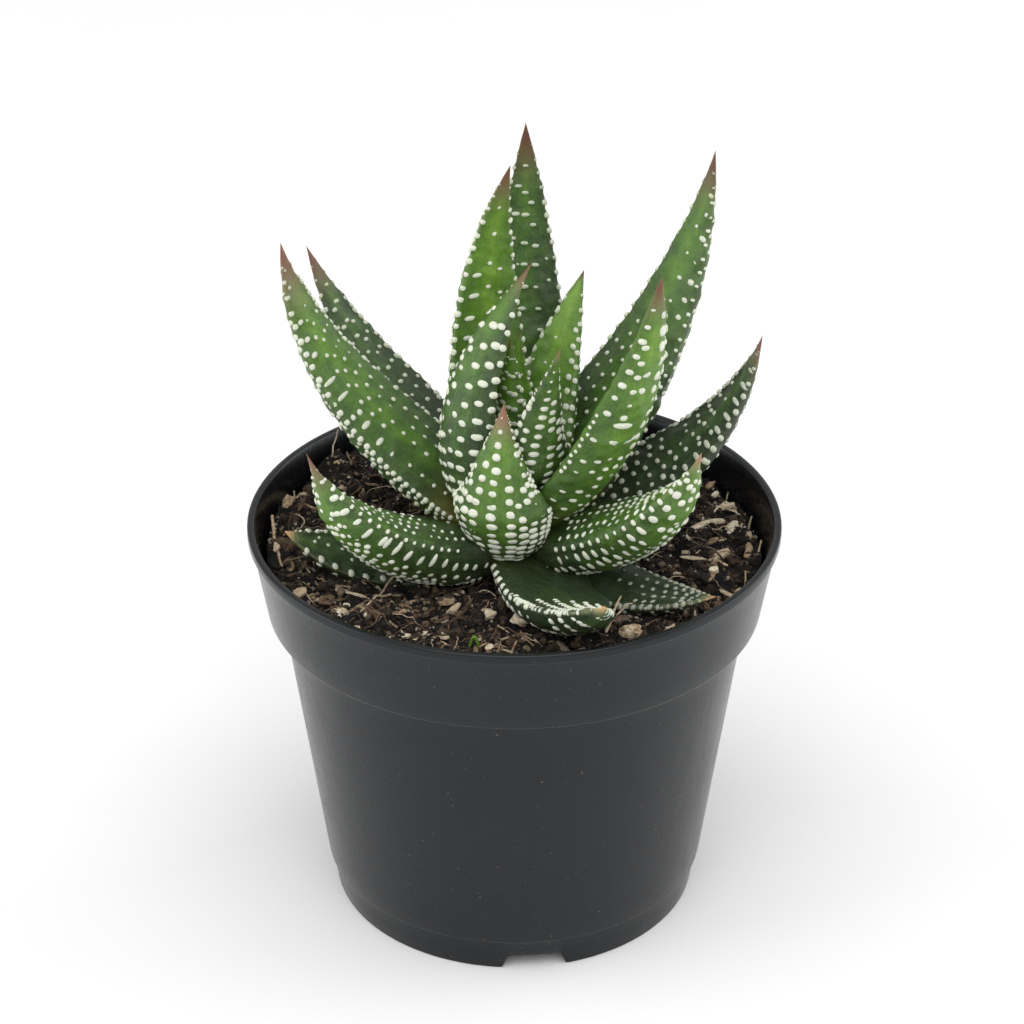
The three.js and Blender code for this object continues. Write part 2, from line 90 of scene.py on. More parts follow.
# A leaf heads for its azimuth at the seat and turns by its sweep on the way to the tip. rise is
# its slope and roll its turn about the midrib, each at seat and tip, and a large bend leaves the
# change of rise for late. crown and depth are how far the inner and outer faces stand out, as
# shares of the width. The leaf is widest at that share of its length, foot is its width at the
# seat as a share of the widest, and a large taper keeps it wide for long. Only point isn't in the
# CAD: it says how much of the tip's width is taken away.
COMMON = dict(
    sweep=0, bend=1, roll=(0, 0), depth=0.36, crown=0.05, widest=0.16, foot=0.85, taper=1.6,
    point=0)

# How each leaf lies, as in the CAD. Angles are in degrees.
LEAVES = {
    "leaf_heart_front": dict(
        azimuth=228, rise=(94, 86), length=32.5, width=9.5, seat=(2, 92), roll=(-8, 4)),
    "leaf_heart_rear": dict(
        azimuth=89, sweep=-6, rise=(80, 86), length=31, width=9, seat=(3, 91), taper=1.25),
    "leaf_centre_right": dict(
        azimuth=65, sweep=-12, rise=(73, 54), bend=0.5, length=45.5, width=16.5, seat=(3.5, 88),
        roll=(-14, -2)),
    "leaf_centre_left": dict(
        azimuth=121, rise=(64, 117), length=72.5, width=18.5, seat=(3, 88), roll=(-3, -4),
        taper=1.45),
    "leaf_front_right_young": dict(
        azimuth=286, sweep=9, rise=(78, 61), bend=0.8, length=50, width=14, seat=(4.5, 85.5),
        roll=(-3, 8), widest=0.38, foot=0.55, taper=0.8),
    "leaf_front_left": dict(
        azimuth=207, sweep=18, rise=(35, 138), bend=0.6, length=54.5, width=18, seat=(3, 88.5),
        roll=(-6, -2), widest=0.18, foot=0.8, taper=1.35, point=0.35),
    "leaf_rear_tall": dict(
        azimuth=86.5, rise=(44, 96), length=78.5, width=19, seat=(3.5, 84), roll=(1, 2),
        taper=1.7),
    "leaf_front_right": dict(
        azimuth=327.5, sweep=-3, rise=(47, 83), bend=1.2, length=64, width=20.5, seat=(3, 88),
        roll=(5, -21), depth=0.34, widest=0.2, foot=0.75, taper=1.55),
    "leaf_front_short": dict(
        azimuth=259, sweep=-4, rise=(60, 105), bend=0.9, length=35, width=18.8,
        seat=(9.5, 82.5), roll=(-6, -6), widest=0.42, foot=0.4, taper=0.76),
    "leaf_tall_right": dict(
        azimuth=34, sweep=-5, rise=(39, 81), bend=1.3, length=79.5, width=22, seat=(3, 86.5),
        roll=(9, 1), taper=1.55),
    "leaf_tall_left": dict(
        azimuth=159.5, sweep=2, rise=(28, 81), bend=1.6, length=70.5, width=20.5,
        seat=(3, 85.5), roll=(-7, -11), taper=1.75),
    "leaf_left_rear": dict(
        azimuth=130.5, sweep=25, rise=(12, 66), bend=0.9, length=67.5, width=17.5, seat=(5, 85),
        roll=(-22, -9), taper=1.55),
    "leaf_right_dark": dict(
        azimuth=15.5, sweep=-12, rise=(-1, 76), length=61.5, width=19.5, seat=(3, 85),
        roll=(23, 8), taper=1.55),
    "leaf_low_right": dict(
        azimuth=332, sweep=-14, rise=(15, 69), bend=1.5, length=49, width=22, seat=(3, 83),
        roll=(-5, 5), depth=0.4, crown=0.11, widest=0.22, foot=0.5, taper=2.2, point=0.4),
    "leaf_low_left": dict(
        azimuth=207, sweep=5, rise=(-2, 68), length=53, width=22.5, seat=(3, 83.5),
        roll=(16, -1), depth=0.42, crown=0.1, widest=0.22, foot=0.65, taper=2, point=0.65),
    "leaf_rear_low_left": dict(
        azimuth=130, rise=(-2, 22), length=42, width=14, seat=(4, 80.5), depth=0.34),
    "leaf_rear_low": dict(
        azimuth=91, rise=(-2, 20), length=40, width=13, seat=(4, 79.5), depth=0.34),
    "leaf_rear_low_right": dict(
        azimuth=54, rise=(-2, 24), length=38, width=13, seat=(4, 80.5), depth=0.34),
    "leaf_soil_left": dict(
        azimuth=185, sweep=8, rise=(-42, 36), bend=0.6, length=45.5, width=18.5,
        seat=(3, 80.4), roll=(18, -26), depth=0.3, taper=2.4),
    "leaf_soil_right": dict(
        azimuth=329.5, sweep=-10, rise=(-30, 27), bend=0.8, length=44.5, width=19,
        seat=(3, 81), roll=(-6, 7), depth=0.28, taper=1.7),
    "leaf_soil_front": dict(
        azimuth=286, sweep=8, rise=(-7, 45), bend=1.4, length=41.5, width=19.5,
        seat=(9, 81.5), roll=(-13, -9), depth=0.3, widest=0.4, taper=1.5),
}

# ---------------------------------------------------------------- looks of each leaf

# Tubercles stand in columns along a leaf. A column is
#   (place from, to, share of the length from, to, pitch from, to, wide from, to, tall from, to).
# place runs from -1 at the first margin to 1 at the second, pitch is the spacing, wide goes round
# the leaf and tall along it, all in millimetres.


def on(face, *columns):
    """Columns on the inner face, "in", or on the outer one, "out"."""
    return [(face, *column) for column in columns]


FIRST_MARGIN = on("out", (-1, -1, 0.12, 0.96, 2.3, 3.1, 1.4, 1, 1.3, 1.1))
SECOND_MARGIN = on("out", (1, 1, 0.12, 0.96, 2.3, 3.1, 1.4, 1, 1.3, 1.1))
FIRST_FROST = on(
    "out",
    (-1, -1, 0.14, 0.97, 1.05, 1.25, 0.9, 0.8, 0.85, 0.8),
    (-0.93, -0.92, 0.14, 0.95, 1.15, 1.35, 1.1, 0.9, 0.9, 0.85),
)
SECOND_FROST = on(
    "out",
    (1, 1, 0.14, 0.97, 1.05, 1.25, 0.9, 0.8, 0.85, 0.8),
    (0.93, 0.92, 0.14, 0.95, 1.15, 1.35, 1.1, 0.9, 0.9, 0.85),
)
OUTER_FIRST = on(
    "out",
    (-0.82, -0.8, 0.06, 0.92, 2.3, 3.1, 2, 1.1, 1, 0.9),
    (-0.55, -0.5, 0.05, 0.88, 2.4, 3.6, 2.6, 1.2, 1.1, 1),
    (-0.26, -0.22, 0.05, 0.92, 2.4, 3.5, 3, 1.3, 1.1, 1),
)
OUTER_SECOND = on(
    "out",
    (0.05, 0.05, 0.05, 0.94, 2.5, 3.4, 2.4, 1.5, 1.3, 1.2),
    (0.33, 0.3, 0.05, 0.9, 2.4, 3.5, 3, 1.3, 1.1, 1),
    (0.58, 0.55, 0.05, 0.88, 2.4, 3.6, 2.6, 1.2, 1.1, 1),
    (0.82, 0.8, 0.06, 0.92, 2.3, 3.1, 2, 1.1, 1, 0.9),
)
INNER_SPECKS = on(
    "in",
    (-0.5, -0.4, 0.15, 0.78, 3.2, 5.5, 0.8, 0.9, 0.8, 0.8),
    (0, 0.1, 0.2, 0.75, 4, 7, 0.7, 0.9, 0.7, 0.8),
    (0.5, 0.4, 0.15, 0.78, 3.2, 5.5, 0.8, 0.9, 0.8, 0.8),
)
OUTSIDE = FIRST_MARGIN + OUTER_FIRST + OUTER_SECOND + SECOND_MARGIN
PATTERNS = {
    "leaf_front_short": on(
        "out",
        (0.02, 0.02, 0.1, 0.95, 1.45, 2.5, 2.8, 1.1, 1.1, 1.4),
        (-0.23, -0.36, 0.1, 0.66, 1.4, 2.4, 2.5, 1.5, 1.05, 1.3),
        (-0.44, -0.5, 0.1, 0.52, 1.35, 2.1, 2.2, 1.7, 1, 1.2),
        (-0.62, -0.68, 0.12, 0.6, 1.35, 2, 1.9, 1.4, 1, 1.15),
        (-0.78, -0.84, 0.14, 0.74, 1.3, 2, 1.5, 1.2, 0.95, 1.1),
        (0.27, 0.38, 0.1, 0.68, 1.4, 2.4, 2.5, 1.5, 1.05, 1.3),
        (0.48, 0.53, 0.1, 0.52, 1.35, 2.1, 2.2, 1.7, 1, 1.2),
        (0.66, 0.7, 0.12, 0.6, 1.35, 2, 1.9, 1.4, 1, 1.15),
        (0.81, 0.86, 0.14, 0.8, 1.3, 2.1, 1.5, 1.2, 0.95, 1.1),
    ) + FIRST_FROST + SECOND_FROST + INNER_SPECKS,
    "leaf_front_left": on(
        "out",
        (-0.94, -0.92, 0.2, 0.92, 2.3, 3.4, 1.7, 1.4, 1.2, 1.3),
        (-0.72, -0.6, 0.12, 0.8, 2.1, 4.2, 2.4, 1.5, 1, 1.3),
        (-0.46, -0.22, 0.1, 0.78, 2.1, 4.2, 2.6, 1.7, 1, 1.3),
        (-0.2, -0.1, 0.08, 0.46, 2.1, 3.4, 2.3, 1.7, 1, 1.2),
        (0.02, 0.06, 0.08, 0.44, 2.1, 3.2, 2, 1.6, 1, 1.1),
        (0.24, 0.16, 0.08, 0.72, 2.1, 4, 2, 1.6, 1, 1.2),
        (0.46, 0.44, 0.1, 0.9, 2.1, 4.2, 2.6, 1.7, 1, 1.3),
        (0.7, 0.66, 0.08, 0.9, 2.1, 3.2, 2.4, 1.3, 1.1, 1.1),
    ) + SECOND_MARGIN + INNER_SPECKS,
    "leaf_front_right": on(
        "out",
        (0.78, 0.58, 0.56, 0.93, 2.9, 3.1, 1.5, 1.6, 1.2, 1),
        (0.42, 0.48, 0.56, 0.82, 2.9, 3.1, 1.6, 1.4, 1.2, 1.1),
        (0.2, 0.22, 0.6, 0.74, 3, 3.2, 1.9, 1.7, 1.3, 1.2),
        (0.34, 0.34, 0.535, 0.56, 6, 6, 4.2, 4.2, 1.2, 1.2),
        (0.27, 0.27, 0.478, 0.5, 6, 6, 9.2, 9.2, 1.3, 1.3),
        (0.78, 0.78, 0.48, 0.5, 4, 4, 1.8, 1.8, 1.1, 1.1),
        (-0.16, -0.3, 0.3, 0.9, 2.5, 3.2, 2, 1.6, 1.3, 2.1),
        (0.78, 0.74, 0.22, 0.42, 2.8, 2.4, 1.6, 1.1, 0.7, 0.8),
        (0.55, 0.52, 0.14, 0.43, 2.8, 2.4, 1.8, 1.5, 0.7, 0.9),
        (0.3, 0.3, 0.12, 0.43, 2.6, 2.4, 1.6, 1.2, 0.7, 0.8),
        (0.06, 0.06, 0.12, 0.42, 2.2, 2.2, 1.4, 1.4, 0.8, 0.9),
        (0.94, 0.92, 0.32, 0.56, 1.4, 1.5, 0.8, 0.8, 0.8, 0.8),
        (-0.55, -0.55, 0.1, 0.85, 2.5, 3.4, 2.6, 1.3, 1.1, 1.1),
        (-0.8, -0.8, 0.1, 0.88, 2.4, 3.1, 2, 1.2, 1, 1),
    ) + FIRST_MARGIN + INNER_SPECKS,
    "leaf_low_left": on(
        "out",
        (-0.8, -0.74, 0.6, 0.92, 2.7, 3.4, 3, 1.3, 1.15, 1),
        (-0.8, -0.8, 0.38, 0.6, 2.5, 2.7, 3.2, 3.6, 0.95, 1),
        (-0.74, -0.8, 0.16, 0.38, 2.1, 2.5, 1.3, 2.8, 0.8, 0.95),
        (-0.56, -0.56, 0.2, 0.82, 2.4, 3, 1.4, 1.2, 0.95, 1),
        (-0.44, -0.46, 0.16, 0.8, 1.7, 2.4, 1.2, 1.1, 0.9, 1),
        (-0.33, -0.3, 0.16, 0.78, 1.4, 1.9, 1.2, 1.2, 0.9, 1),
        (-0.22, -0.14, 0.18, 0.76, 1.3, 1.7, 1.3, 1.3, 0.9, 1),
        (-0.98, -0.98, 0.3, 0.95, 1.9, 2.2, 0.8, 0.9, 0.7, 0.8),
    ) + on(
        "in",
        (-0.78, -0.8, 0.26, 0.9, 1.9, 2.2, 0.8, 0.9, 0.7, 0.8),
        (-0.5, -0.52, 0.28, 0.7, 2, 2.2, 0.9, 0.9, 0.7, 0.7),
        (-0.22, -0.22, 0.32, 0.66, 2, 2.2, 0.9, 0.9, 0.6, 0.6),
        (0.1, 0.1, 0.34, 0.66, 2, 2.2, 0.9, 0.9, 0.6, 0.6),
        (0.45, 0.45, 0.32, 0.7, 2, 2.2, 0.9, 0.9, 0.6, 0.6),
        (0.8, 0.8, 0.3, 0.9, 1.8, 2.2, 0.9, 0.9, 0.7, 0.8),
    ) + on(
        "out",
        (-0.1, -0.02, 0.3, 0.93, 1.3, 1.7, 1.3, 1.1, 0.9, 1),
    ) + SECOND_MARGIN + OUTER_SECOND[1:],
    "leaf_low_right": on(
        "out",
        (0.62, 0.6, 0.11, 0.62, 1.9, 2.1, 2.3, 2.6, 0.8, 0.95),
        (0.52, 0.42, 0.66, 0.9, 2.7, 3.2, 1.7, 1.3, 1.1, 1.2),
        (0.82, 0.8, 0.24, 0.66, 2, 2.2, 2.2, 2.3, 0.85, 1.05),
        (0.8, 0.74, 0.69, 0.93, 2.8, 3.2, 1.9, 1.4, 1.3, 1.3),
        (0.98, 0.98, 0.26, 0.95, 2, 2.3, 1.1, 1.2, 0.75, 1),
        (0.44, 0.4, 0.13, 0.62, 1.2, 1.5, 1.1, 1.2, 0.85, 0.95),
        (0.33, 0.3, 0.13, 0.72, 1.1, 1.7, 1, 1.2, 0.85, 1),
        (0.22, 0.16, 0.14, 0.93, 1.2, 1.9, 1.1, 1.1, 0.9, 1),
        (0.05, 0.02, 0.2, 0.78, 1.9, 2.1, 1.8, 1.5, 1, 1.1),
    ) + on(
        "in",
        (0.82, 0.76, 0.26, 0.92, 1.9, 2.6, 1.2, 1.5, 0.7, 1.1),
        (0.58, 0.5, 0.26, 0.8, 1.8, 2.2, 1.3, 1.2, 0.65, 0.85),
        (0.32, 0.26, 0.24, 0.74, 1.8, 2.2, 1.3, 1.1, 0.65, 0.8),
        (0.06, 0, 0.26, 0.76, 1.8, 2.2, 1.3, 1.1, 0.65, 0.8),
        (-0.25, -0.3, 0.3, 0.72, 1.8, 2.2, 1.3, 1.1, 0.65, 0.8),
        (-0.6, -0.65, 0.34, 0.8, 1.8, 2.2, 1.2, 1, 0.65, 0.8),
    ) + FIRST_MARGIN + OUTER_FIRST,
    "leaf_tall_left": on(
        "in",
        (-0.7, -0.6, 0.66, 0.92, 3.3, 3.4, 1.8, 1.2, 1.15, 0.9),
        (-0.62, -0.66, 0.54, 0.64, 3.9, 3.9, 4.6, 4.6, 0.95, 0.95),
        (-0.8, -0.8, 0.48, 0.52, 4, 4, 1.2, 1.2, 1.1, 1.1),
        (-0.52, -0.52, 0.48, 0.52, 4, 4, 1.3, 1.3, 1.1, 1.1),
        (-0.68, -0.64, 0.32, 0.47, 3.6, 3.8, 2, 2.9, 1, 1.1),
        (-0.6, -0.6, 0.14, 0.31, 2.8, 3, 0.8, 1.2, 0.7, 1),
        (-0.28, -0.25, 0.4, 0.8, 3.4, 4.2, 1, 0.9, 1, 0.9),
        (-0.05, 0.05, 0.26, 0.84, 3, 4.2, 0.8, 0.8, 1, 0.8),
        (0.25, 0.3, 0.24, 0.74, 2.8, 3.8, 0.8, 0.8, 1.1, 0.9),
        (0.55, 0.6, 0.26, 0.8, 2.8, 3.8, 0.8, 0.8, 1.1, 0.9),
        (0.94, 0.94, 0.24, 0.9, 2.7, 3, 0.9, 0.9, 1.5, 1.3),
    ) + on(
        "out",
        (-1, -1, 0.1, 0.6, 1.4, 2.2, 1, 1.4, 1, 1.3),
        (-1, -1, 0.62, 0.96, 2.6, 3, 1.4, 1, 1.3, 1.1),
        (-0.93, -0.93, 0.1, 0.62, 1.5, 2.4, 1, 1.2, 0.9, 1.1),
        (-0.8, -0.86, 0.1, 0.9, 2.1, 2.8, 1.6, 1.3, 1.1, 1.2),
    ) + SECOND_MARGIN + OUTER_FIRST[1:] + OUTER_SECOND,
    "leaf_centre_left": on(
        "in",
        (-0.6, -0.55, 0.5, 0.68, 4.2, 4.4, 1.9, 2.2, 1, 1),
        (-0.62, -0.62, 0.2, 0.48, 3.6, 3.8, 1.5, 2, 1.1, 1.1),
        (-0.1, -0.05, 0.35, 0.86, 5, 6.5, 0.8, 1, 0.8, 0.8),
        (0.45, 0.35, 0.3, 0.66, 4.6, 5.8, 0.8, 1.1, 0.7, 0.7),
    ) + OUTSIDE,
    "leaf_rear_tall": on(
        "in",
        (-0.05, 0, 0.44, 0.9, 4.2, 5.6, 1.5, 1.5, 0.8, 0.8),
        (0.42, 0.3, 0.4, 0.84, 4, 4.6, 1.5, 1.3, 0.8, 0.8),
        (-0.52, -0.45, 0.4, 0.86, 4.2, 5.2, 1.4, 1.6, 0.8, 0.8),
        (0.78, 0.7, 0.4, 0.7, 4.4, 4.6, 0.9, 0.8, 0.7, 0.7),
        (-0.25, -0.2, 0.42, 0.66, 4.6, 6, 0.8, 0.8, 0.6, 0.6),
    ) + OUTSIDE,
    "leaf_tall_right": on(
        "in",
        (0.76, 0.78, 0.44, 0.95, 3.7, 4.3, 1.6, 1.8, 1.3, 1.2),
        (0.78, 0.77, 0.14, 0.43, 3, 3.6, 1.2, 1.4, 1, 1.2),
    ) + on(
        "out",
        (1, 1, 0.12, 0.96, 2.2, 2.8, 0.7, 0.6, 0.8, 0.7),
    ) + on(
        "in",
        (0.28, 0.12, 0.56, 0.84, 4.2, 6, 1.1, 0.8, 0.8, 0.7),
        (-0.2, -0.2, 0.22, 0.56, 3, 3.4, 0.8, 0.9, 0.8, 0.9),
        (-0.46, -0.46, 0.22, 0.54, 2.8, 3.4, 0.9, 0.8, 0.9, 0.9),
        (0.12, 0.12, 0.18, 0.5, 2.8, 3.4, 0.9, 0.8, 0.9, 0.9),
        (-0.72, -0.72, 0.22, 0.5, 2.8, 3.4, 0.8, 0.8, 0.9, 0.9),
        (0.45, 0.45, 0.16, 0.42, 2.8, 3.4, 0.9, 0.9, 0.9, 0.9),
    ) + FIRST_MARGIN + OUTER_FIRST + OUTER_SECOND,
    "leaf_left_rear": on(
        "in",
        (-0.1, 0.1, 0.42, 0.9, 3.2, 4.4, 0.9, 1.4, 0.9, 0.9),
        (0.34, 0.3, 0.38, 0.74, 3.4, 4.2, 0.9, 1.1, 0.9, 0.9),
        (0.62, 0.62, 0.36, 0.7, 3.2, 4.4, 0.9, 0.8, 0.9, 0.9),
        (-0.45, -0.35, 0.36, 0.84, 3.2, 4.2, 0.9, 1.3, 0.9, 0.9),
        (-0.74, -0.7, 0.34, 0.8, 3.4, 4.4, 0.9, 0.9, 0.9, 0.9),
        (0.92, 0.92, 0.3, 0.85, 2.8, 3.2, 1, 0.9, 1.3, 1.1),
    ) + OUTSIDE,
    "leaf_centre_right": on(
        "in",
        (-0.3, -0.15, 0.4, 0.82, 5.2, 6.6, 0.8, 0.7, 0.7, 0.7),
        (-0.8, -0.8, 0.3, 0.62, 3.6, 4.2, 0.7, 0.7, 0.7, 0.7),
        (0.78, 0.8, 0.22, 0.8, 2.8, 3.2, 1.4, 1.1, 1.3, 1.1),
        (-0.96, -0.96, 0.48, 0.9, 2.6, 2.8, 1.6, 1.3, 1.9, 1.5),
    ) + OUTSIDE,
    "leaf_right_dark": on(
        "in",
        (-0.66, -0.62, 0.3, 0.8, 2.6, 3.4, 1.2, 0.9, 1.1, 0.8),
        (-0.38, -0.34, 0.28, 0.72, 2.7, 3.4, 1.2, 0.9, 1.1, 0.9),
        (-0.1, -0.06, 0.26, 0.8, 2.7, 3.4, 1.3, 1, 1.2, 0.9),
        (0.18, 0.22, 0.26, 0.68, 2.7, 3.4, 1.3, 1, 1.2, 0.9),
        (0.46, 0.44, 0.24, 0.66, 2.7, 3.4, 1.4, 1.1, 1.3, 1),
        (0.74, 0.62, 0.24, 0.94, 3.1, 3.3, 1.6, 2.9, 1.2, 1),
        (-0.92, -0.92, 0.3, 0.9, 2.6, 3, 1.2, 0.9, 1.6, 1.3),
    ) + on(
        "out",
        (0.88, 0.88, 0.3, 0.62, 2.6, 3, 1.5, 1.4, 1.2, 1.1),
    ) + FIRST_MARGIN + SECOND_MARGIN + OUTER_FIRST + OUTER_SECOND[:3],
    "leaf_front_right_young": on(
        "out",
        (0.26, 0.24, 0.26, 0.92, 1.9, 2.5, 2.5, 1, 1.2, 1.1),
        (-0.16, -0.22, 0.2, 0.72, 1.9, 2.4, 2.3, 1.5, 1.1, 1.5),
        (-0.5, -0.52, 0.18, 0.6, 1.9, 2.2, 2, 1.6, 1.1, 1.3),
        (0.6, 0.66, 0.26, 0.62, 2, 2.4, 1.6, 1.1, 1.1, 1.1),
        (0.95, 0.95, 0.3, 0.9, 2.2, 2.3, 1.2, 1, 1.6, 1.3),
        (-0.8, -0.8, 0.2, 0.88, 2.1, 2.6, 1.7, 1, 1.2, 1),
    ) + FIRST_MARGIN + SECOND_MARGIN + INNER_SPECKS,
    "leaf_soil_left": on(
        "in",
        (-0.86, -0.9, 0.34, 0.94, 3.2, 3, 1.6, 1.4, 1.3, 1.2),
        (-0.4, -0.34, 0.4, 0.7, 5.4, 5, 0.8, 0.8, 0.8, 0.8),
        (0, 0.1, 0.36, 0.92, 3.2, 3, 0.9, 0.9, 0.9, 0.8),
        (0.5, 0.46, 0.44, 0.9, 4.4, 4, 0.8, 0.8, 0.7, 0.7),
        (0.93, 0.93, 0.34, 0.96, 2.1, 1.9, 1, 1.1, 1.1, 1.1),
    ) + on(
        "out",
        (-0.78, -0.78, 0.34, 0.92, 3.4, 3.2, 1.4, 1.2, 1.2, 1.1),
    ) + SECOND_MARGIN + OUTER_FIRST[1:] + OUTER_SECOND,
    "leaf_soil_right": on(
        "in",
        (0.95, 0.95, 0.3, 0.97, 1.7, 1.5, 1.2, 1.3, 1.2, 1.2),
        (0.66, 0.6, 0.62, 0.94, 1.9, 1.8, 1.2, 1.2, 1.1, 1.1),
        (0.3, 0.25, 0.58, 0.9, 2.2, 2, 1.1, 1.1, 1, 1),
        (-0.1, -0.2, 0.44, 0.9, 2.8, 2.6, 0.9, 1, 0.8, 0.9),
        (-0.55, -0.6, 0.42, 0.92, 2.6, 2.2, 0.9, 1.1, 0.8, 1),
    ) + on(
        "out",
        (-1, -1, 0.3, 0.96, 1.9, 1.7, 1.4, 1.5, 1.2, 1.3),
    ) + OUTER_FIRST + OUTER_SECOND + SECOND_MARGIN,
    "leaf_soil_front": on(
        "out",
        (-0.92, -0.92, 0.52, 0.96, 1.25, 1.15, 1.4, 1.5, 0.7, 0.75),
        (-0.68, -0.68, 0.44, 0.94, 1.2, 1.2, 1.9, 1.8, 0.78, 0.8),
        (-0.44, -0.44, 0.46, 0.92, 1.3, 1.3, 1.7, 1.6, 0.85, 0.9),
        (-0.22, -0.22, 0.48, 0.9, 1.4, 1.4, 1.5, 1.5, 0.9, 1),
    ) + on(
        "in",
        (-0.62, -0.66, 0.58, 0.9, 1.1, 1.1, 1, 0.9, 0.45, 0.45),
        (-0.34, -0.42, 0.56, 0.86, 1.2, 1.1, 1.2, 1, 0.45, 0.45),
        (-0.04, -0.12, 0.54, 0.84, 1.2, 1.1, 1.3, 1.1, 0.45, 0.45),
        (0.28, 0.22, 0.52, 0.84, 1.3, 1.1, 1.2, 1, 0.45, 0.45),
        (0.6, 0.58, 0.5, 0.88, 1.3, 1.1, 1, 0.9, 0.45, 0.45),
        (0.95, 0.95, 0.4, 0.95, 1, 1, 1.2, 1.3, 0.9, 1),
    ) + OUTER_SECOND + SECOND_MARGIN,
}

# For each leaf fresh: 0 a dark grey-green one, 1 a bright one; blush: the share of its length that
# is brown at the tip, and pink: how pale that brown is; warm: how yellow-brown its seat is; then how
# white its tubercles are, turned down on leaves that lie in shade, which is painted shade on their
# tubercles; shadow: how much darker its seat is than the rest.
LOOKS = {
    "leaf_heart_front": (0.6, 0.05, 0.2, 0.2, 0.8, 0.5),
    "leaf_heart_rear": (0.75, 0.04, 0.2, 0.2, 0.8, 0.5),
    "leaf_centre_right": (0.74, 0.03, 0, 0.2, 0.85, 0.5),
    "leaf_centre_left": (0.7, 0.085, 0.25, 0.2, 0.9, 0.2),
    "leaf_front_right_young": (0.42, 0.045, 0.5, 0.2, 0.9, 0.5),
    "leaf_front_left": (0.38, 0.08, 0.3, 0.3, 0.95, 0.4),
    "leaf_rear_tall": (0.32, 0.085, 0.1, 0.2, 0.7, 0.5),
    "leaf_front_right": (0.63, 0.075, 0.2, 0.7, 0.95, 0.15),
    "leaf_front_short": (0.6, 0.12, 0.45, 0.3, 1, 0.5),
    "leaf_tall_right": (0.5, 0.08, 0.1, 0.3, 0.9, 0.5),
    "leaf_tall_left": (0.6, 0.11, 0.35, 0.8, 0.9, 0.5),
    "leaf_left_rear": (0.22, 0.09, 0.15, 0.1, 0.75, 0.5),
    "leaf_right_dark": (0.09, 0.07, 0.25, 0.1, 0.75, 0.5),
    "leaf_low_right": (0.58, 0.05, 0.7, 0.2, 1, 0.6),
    "leaf_low_left": (0.52, 0.085, 0.4, 0.2, 1, 0.6),
    "leaf_rear_low_left": (0.05, 0.07, 0.6, 0.2, 0.7, 0.5),
    "leaf_rear_low": (0.05, 0.07, 0.6, 0.2, 0.7, 0.5),
    "leaf_rear_low_right": (0.05, 0.07, 0.6, 0.2, 0.7, 0.5),
    "leaf_soil_left": (0.12, 0.04, 1, 0.2, 0.9, 0.5),
    # This leaf lies in the others' shade: its tubercles' low white of 0.5 is painted shade.
    "leaf_soil_right": (-0.16, 0.05, 0.8, 0.3, 0.5, 0.5),
    "leaf_soil_front": (0.08, 0.04, 1.1, 0.2, 0.95, 0.5),
}

# ---------------------------------------------------------------- meshes


def piece(name, points, faces, material, attributes=None, smooth=True):
    """A mesh object at the origin from points in millimetres and four-cornered faces. A face
    whose third and fourth corners are the same is a triangle. attributes are numbers per point."""
    corners = np.where(faces[:, 2] == faces[:, 3], 3, 4)
    keep = np.ones(faces.shape, bool)
    keep[:, 3] = corners == 4
    mesh = bpy.data.meshes.new(name)
    mesh.vertices.add(len(points))
    mesh.vertices.foreach_set("co", (np.asarray(points, float) / MM).ravel())
    mesh.loops.add(int(corners.sum()))
    mesh.loops.foreach_set("vertex_index", faces[keep].astype(np.int32))
    mesh.polygons.add(len(faces))
    mesh.polygons.foreach_set("loop_start", np.append(0, np.cumsum(corners)[:-1]))
    mesh.update(calc_edges=True)
    mesh.validate()
    if smooth:
        mesh.shade_smooth()
    else:
        mesh.shade_flat()
    for key, values in (attributes or {}).items():
        kind, part = ("FLOAT", "value") if np.ndim(values) == 1 else ("FLOAT_VECTOR", "vector")
        mesh.attributes.new(key, kind, "POINT").data.foreach_set(part, np.ravel(values))
    mesh.materials.append(material)
    made = bpy.data.objects.new(name, mesh)
    bpy.context.scene.collection.objects.link(made)
    return made


def placed(made, slot, *nodes):
    """Lets a piece ride with the pot and stand for CAD nodes, whose parts it hides. slot is not
    used.
    """
    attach(made, "root")
    if nodes:
        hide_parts(*nodes)


def turns(count):
    """Even steps round a full turn, in radians."""
    return 2 * np.pi * np.arange(count) / count


def lathe(radius, height, angle, centre=(0, 0)):
    """Points at a radius and an angle about an upright axis, at a height."""
    return np.stack([centre[0] + radius * np.cos(angle), centre[1] + radius * np.sin(angle),
                     height + 0 * angle], -1)


def quads(rows, columns):
    """The faces of rows of points, each row joined from its end to its start."""
    i, k = np.meshgrid(np.arange(rows - 1), np.arange(columns), indexing="ij")
    after = (k + 1) % columns
    corners = [i * columns + k, i * columns + after, (i + 1) * columns + after,
               (i + 1) * columns + k]
    return np.stack(corners, -1).reshape(-1, 4)


def fan(centre, start, count, inwards):
    """Triangles that close a ring of points on one point."""
    k = np.arange(count)
    a, b = start + k, start + (k + 1) % count
    if inwards:
        a, b = b, a
    return np.stack([np.full(count, centre), a, b, b], -1)


def sealed(rows, around, inside_out=False):
    """The faces of a tube of rings, closed at its first and last ring by the two points that
    follow the rings'."""
    sides = quads(rows, around)
    last = rows * around
    return np.concatenate([
        sides[:, ::-1] if inside_out else sides,
        fan(last, 0, around, not inside_out),
        fan(last + 1, last - around, around, inside_out),
    ])


def tube(rings, first, last, inside_out=False):
    """Points and faces of a tube of rings that is closed by a point at each end."""
    points = np.concatenate([rings.reshape(-1, 3), [first, last]])
    return points, sealed(*rings.shape[:2], inside_out)


def ball(rings, around):
    """A ball of radius 1 as a tube of rings round its poles."""
    polar = np.pi * (np.arange(rings) + 1) / (rings + 1)
    p, t = np.meshgrid(polar, turns(around), indexing="ij")
    return tube(lathe(np.sin(p), np.cos(p), t), [0, 0, 1], [0, 0, -1], True)


def repeated(faces, per, count):
    """The faces of one shape of so many points, repeated for each of a count of shapes."""
    return (faces[None] + (np.arange(count) * per)[:, None, None]).reshape(-1, 4)


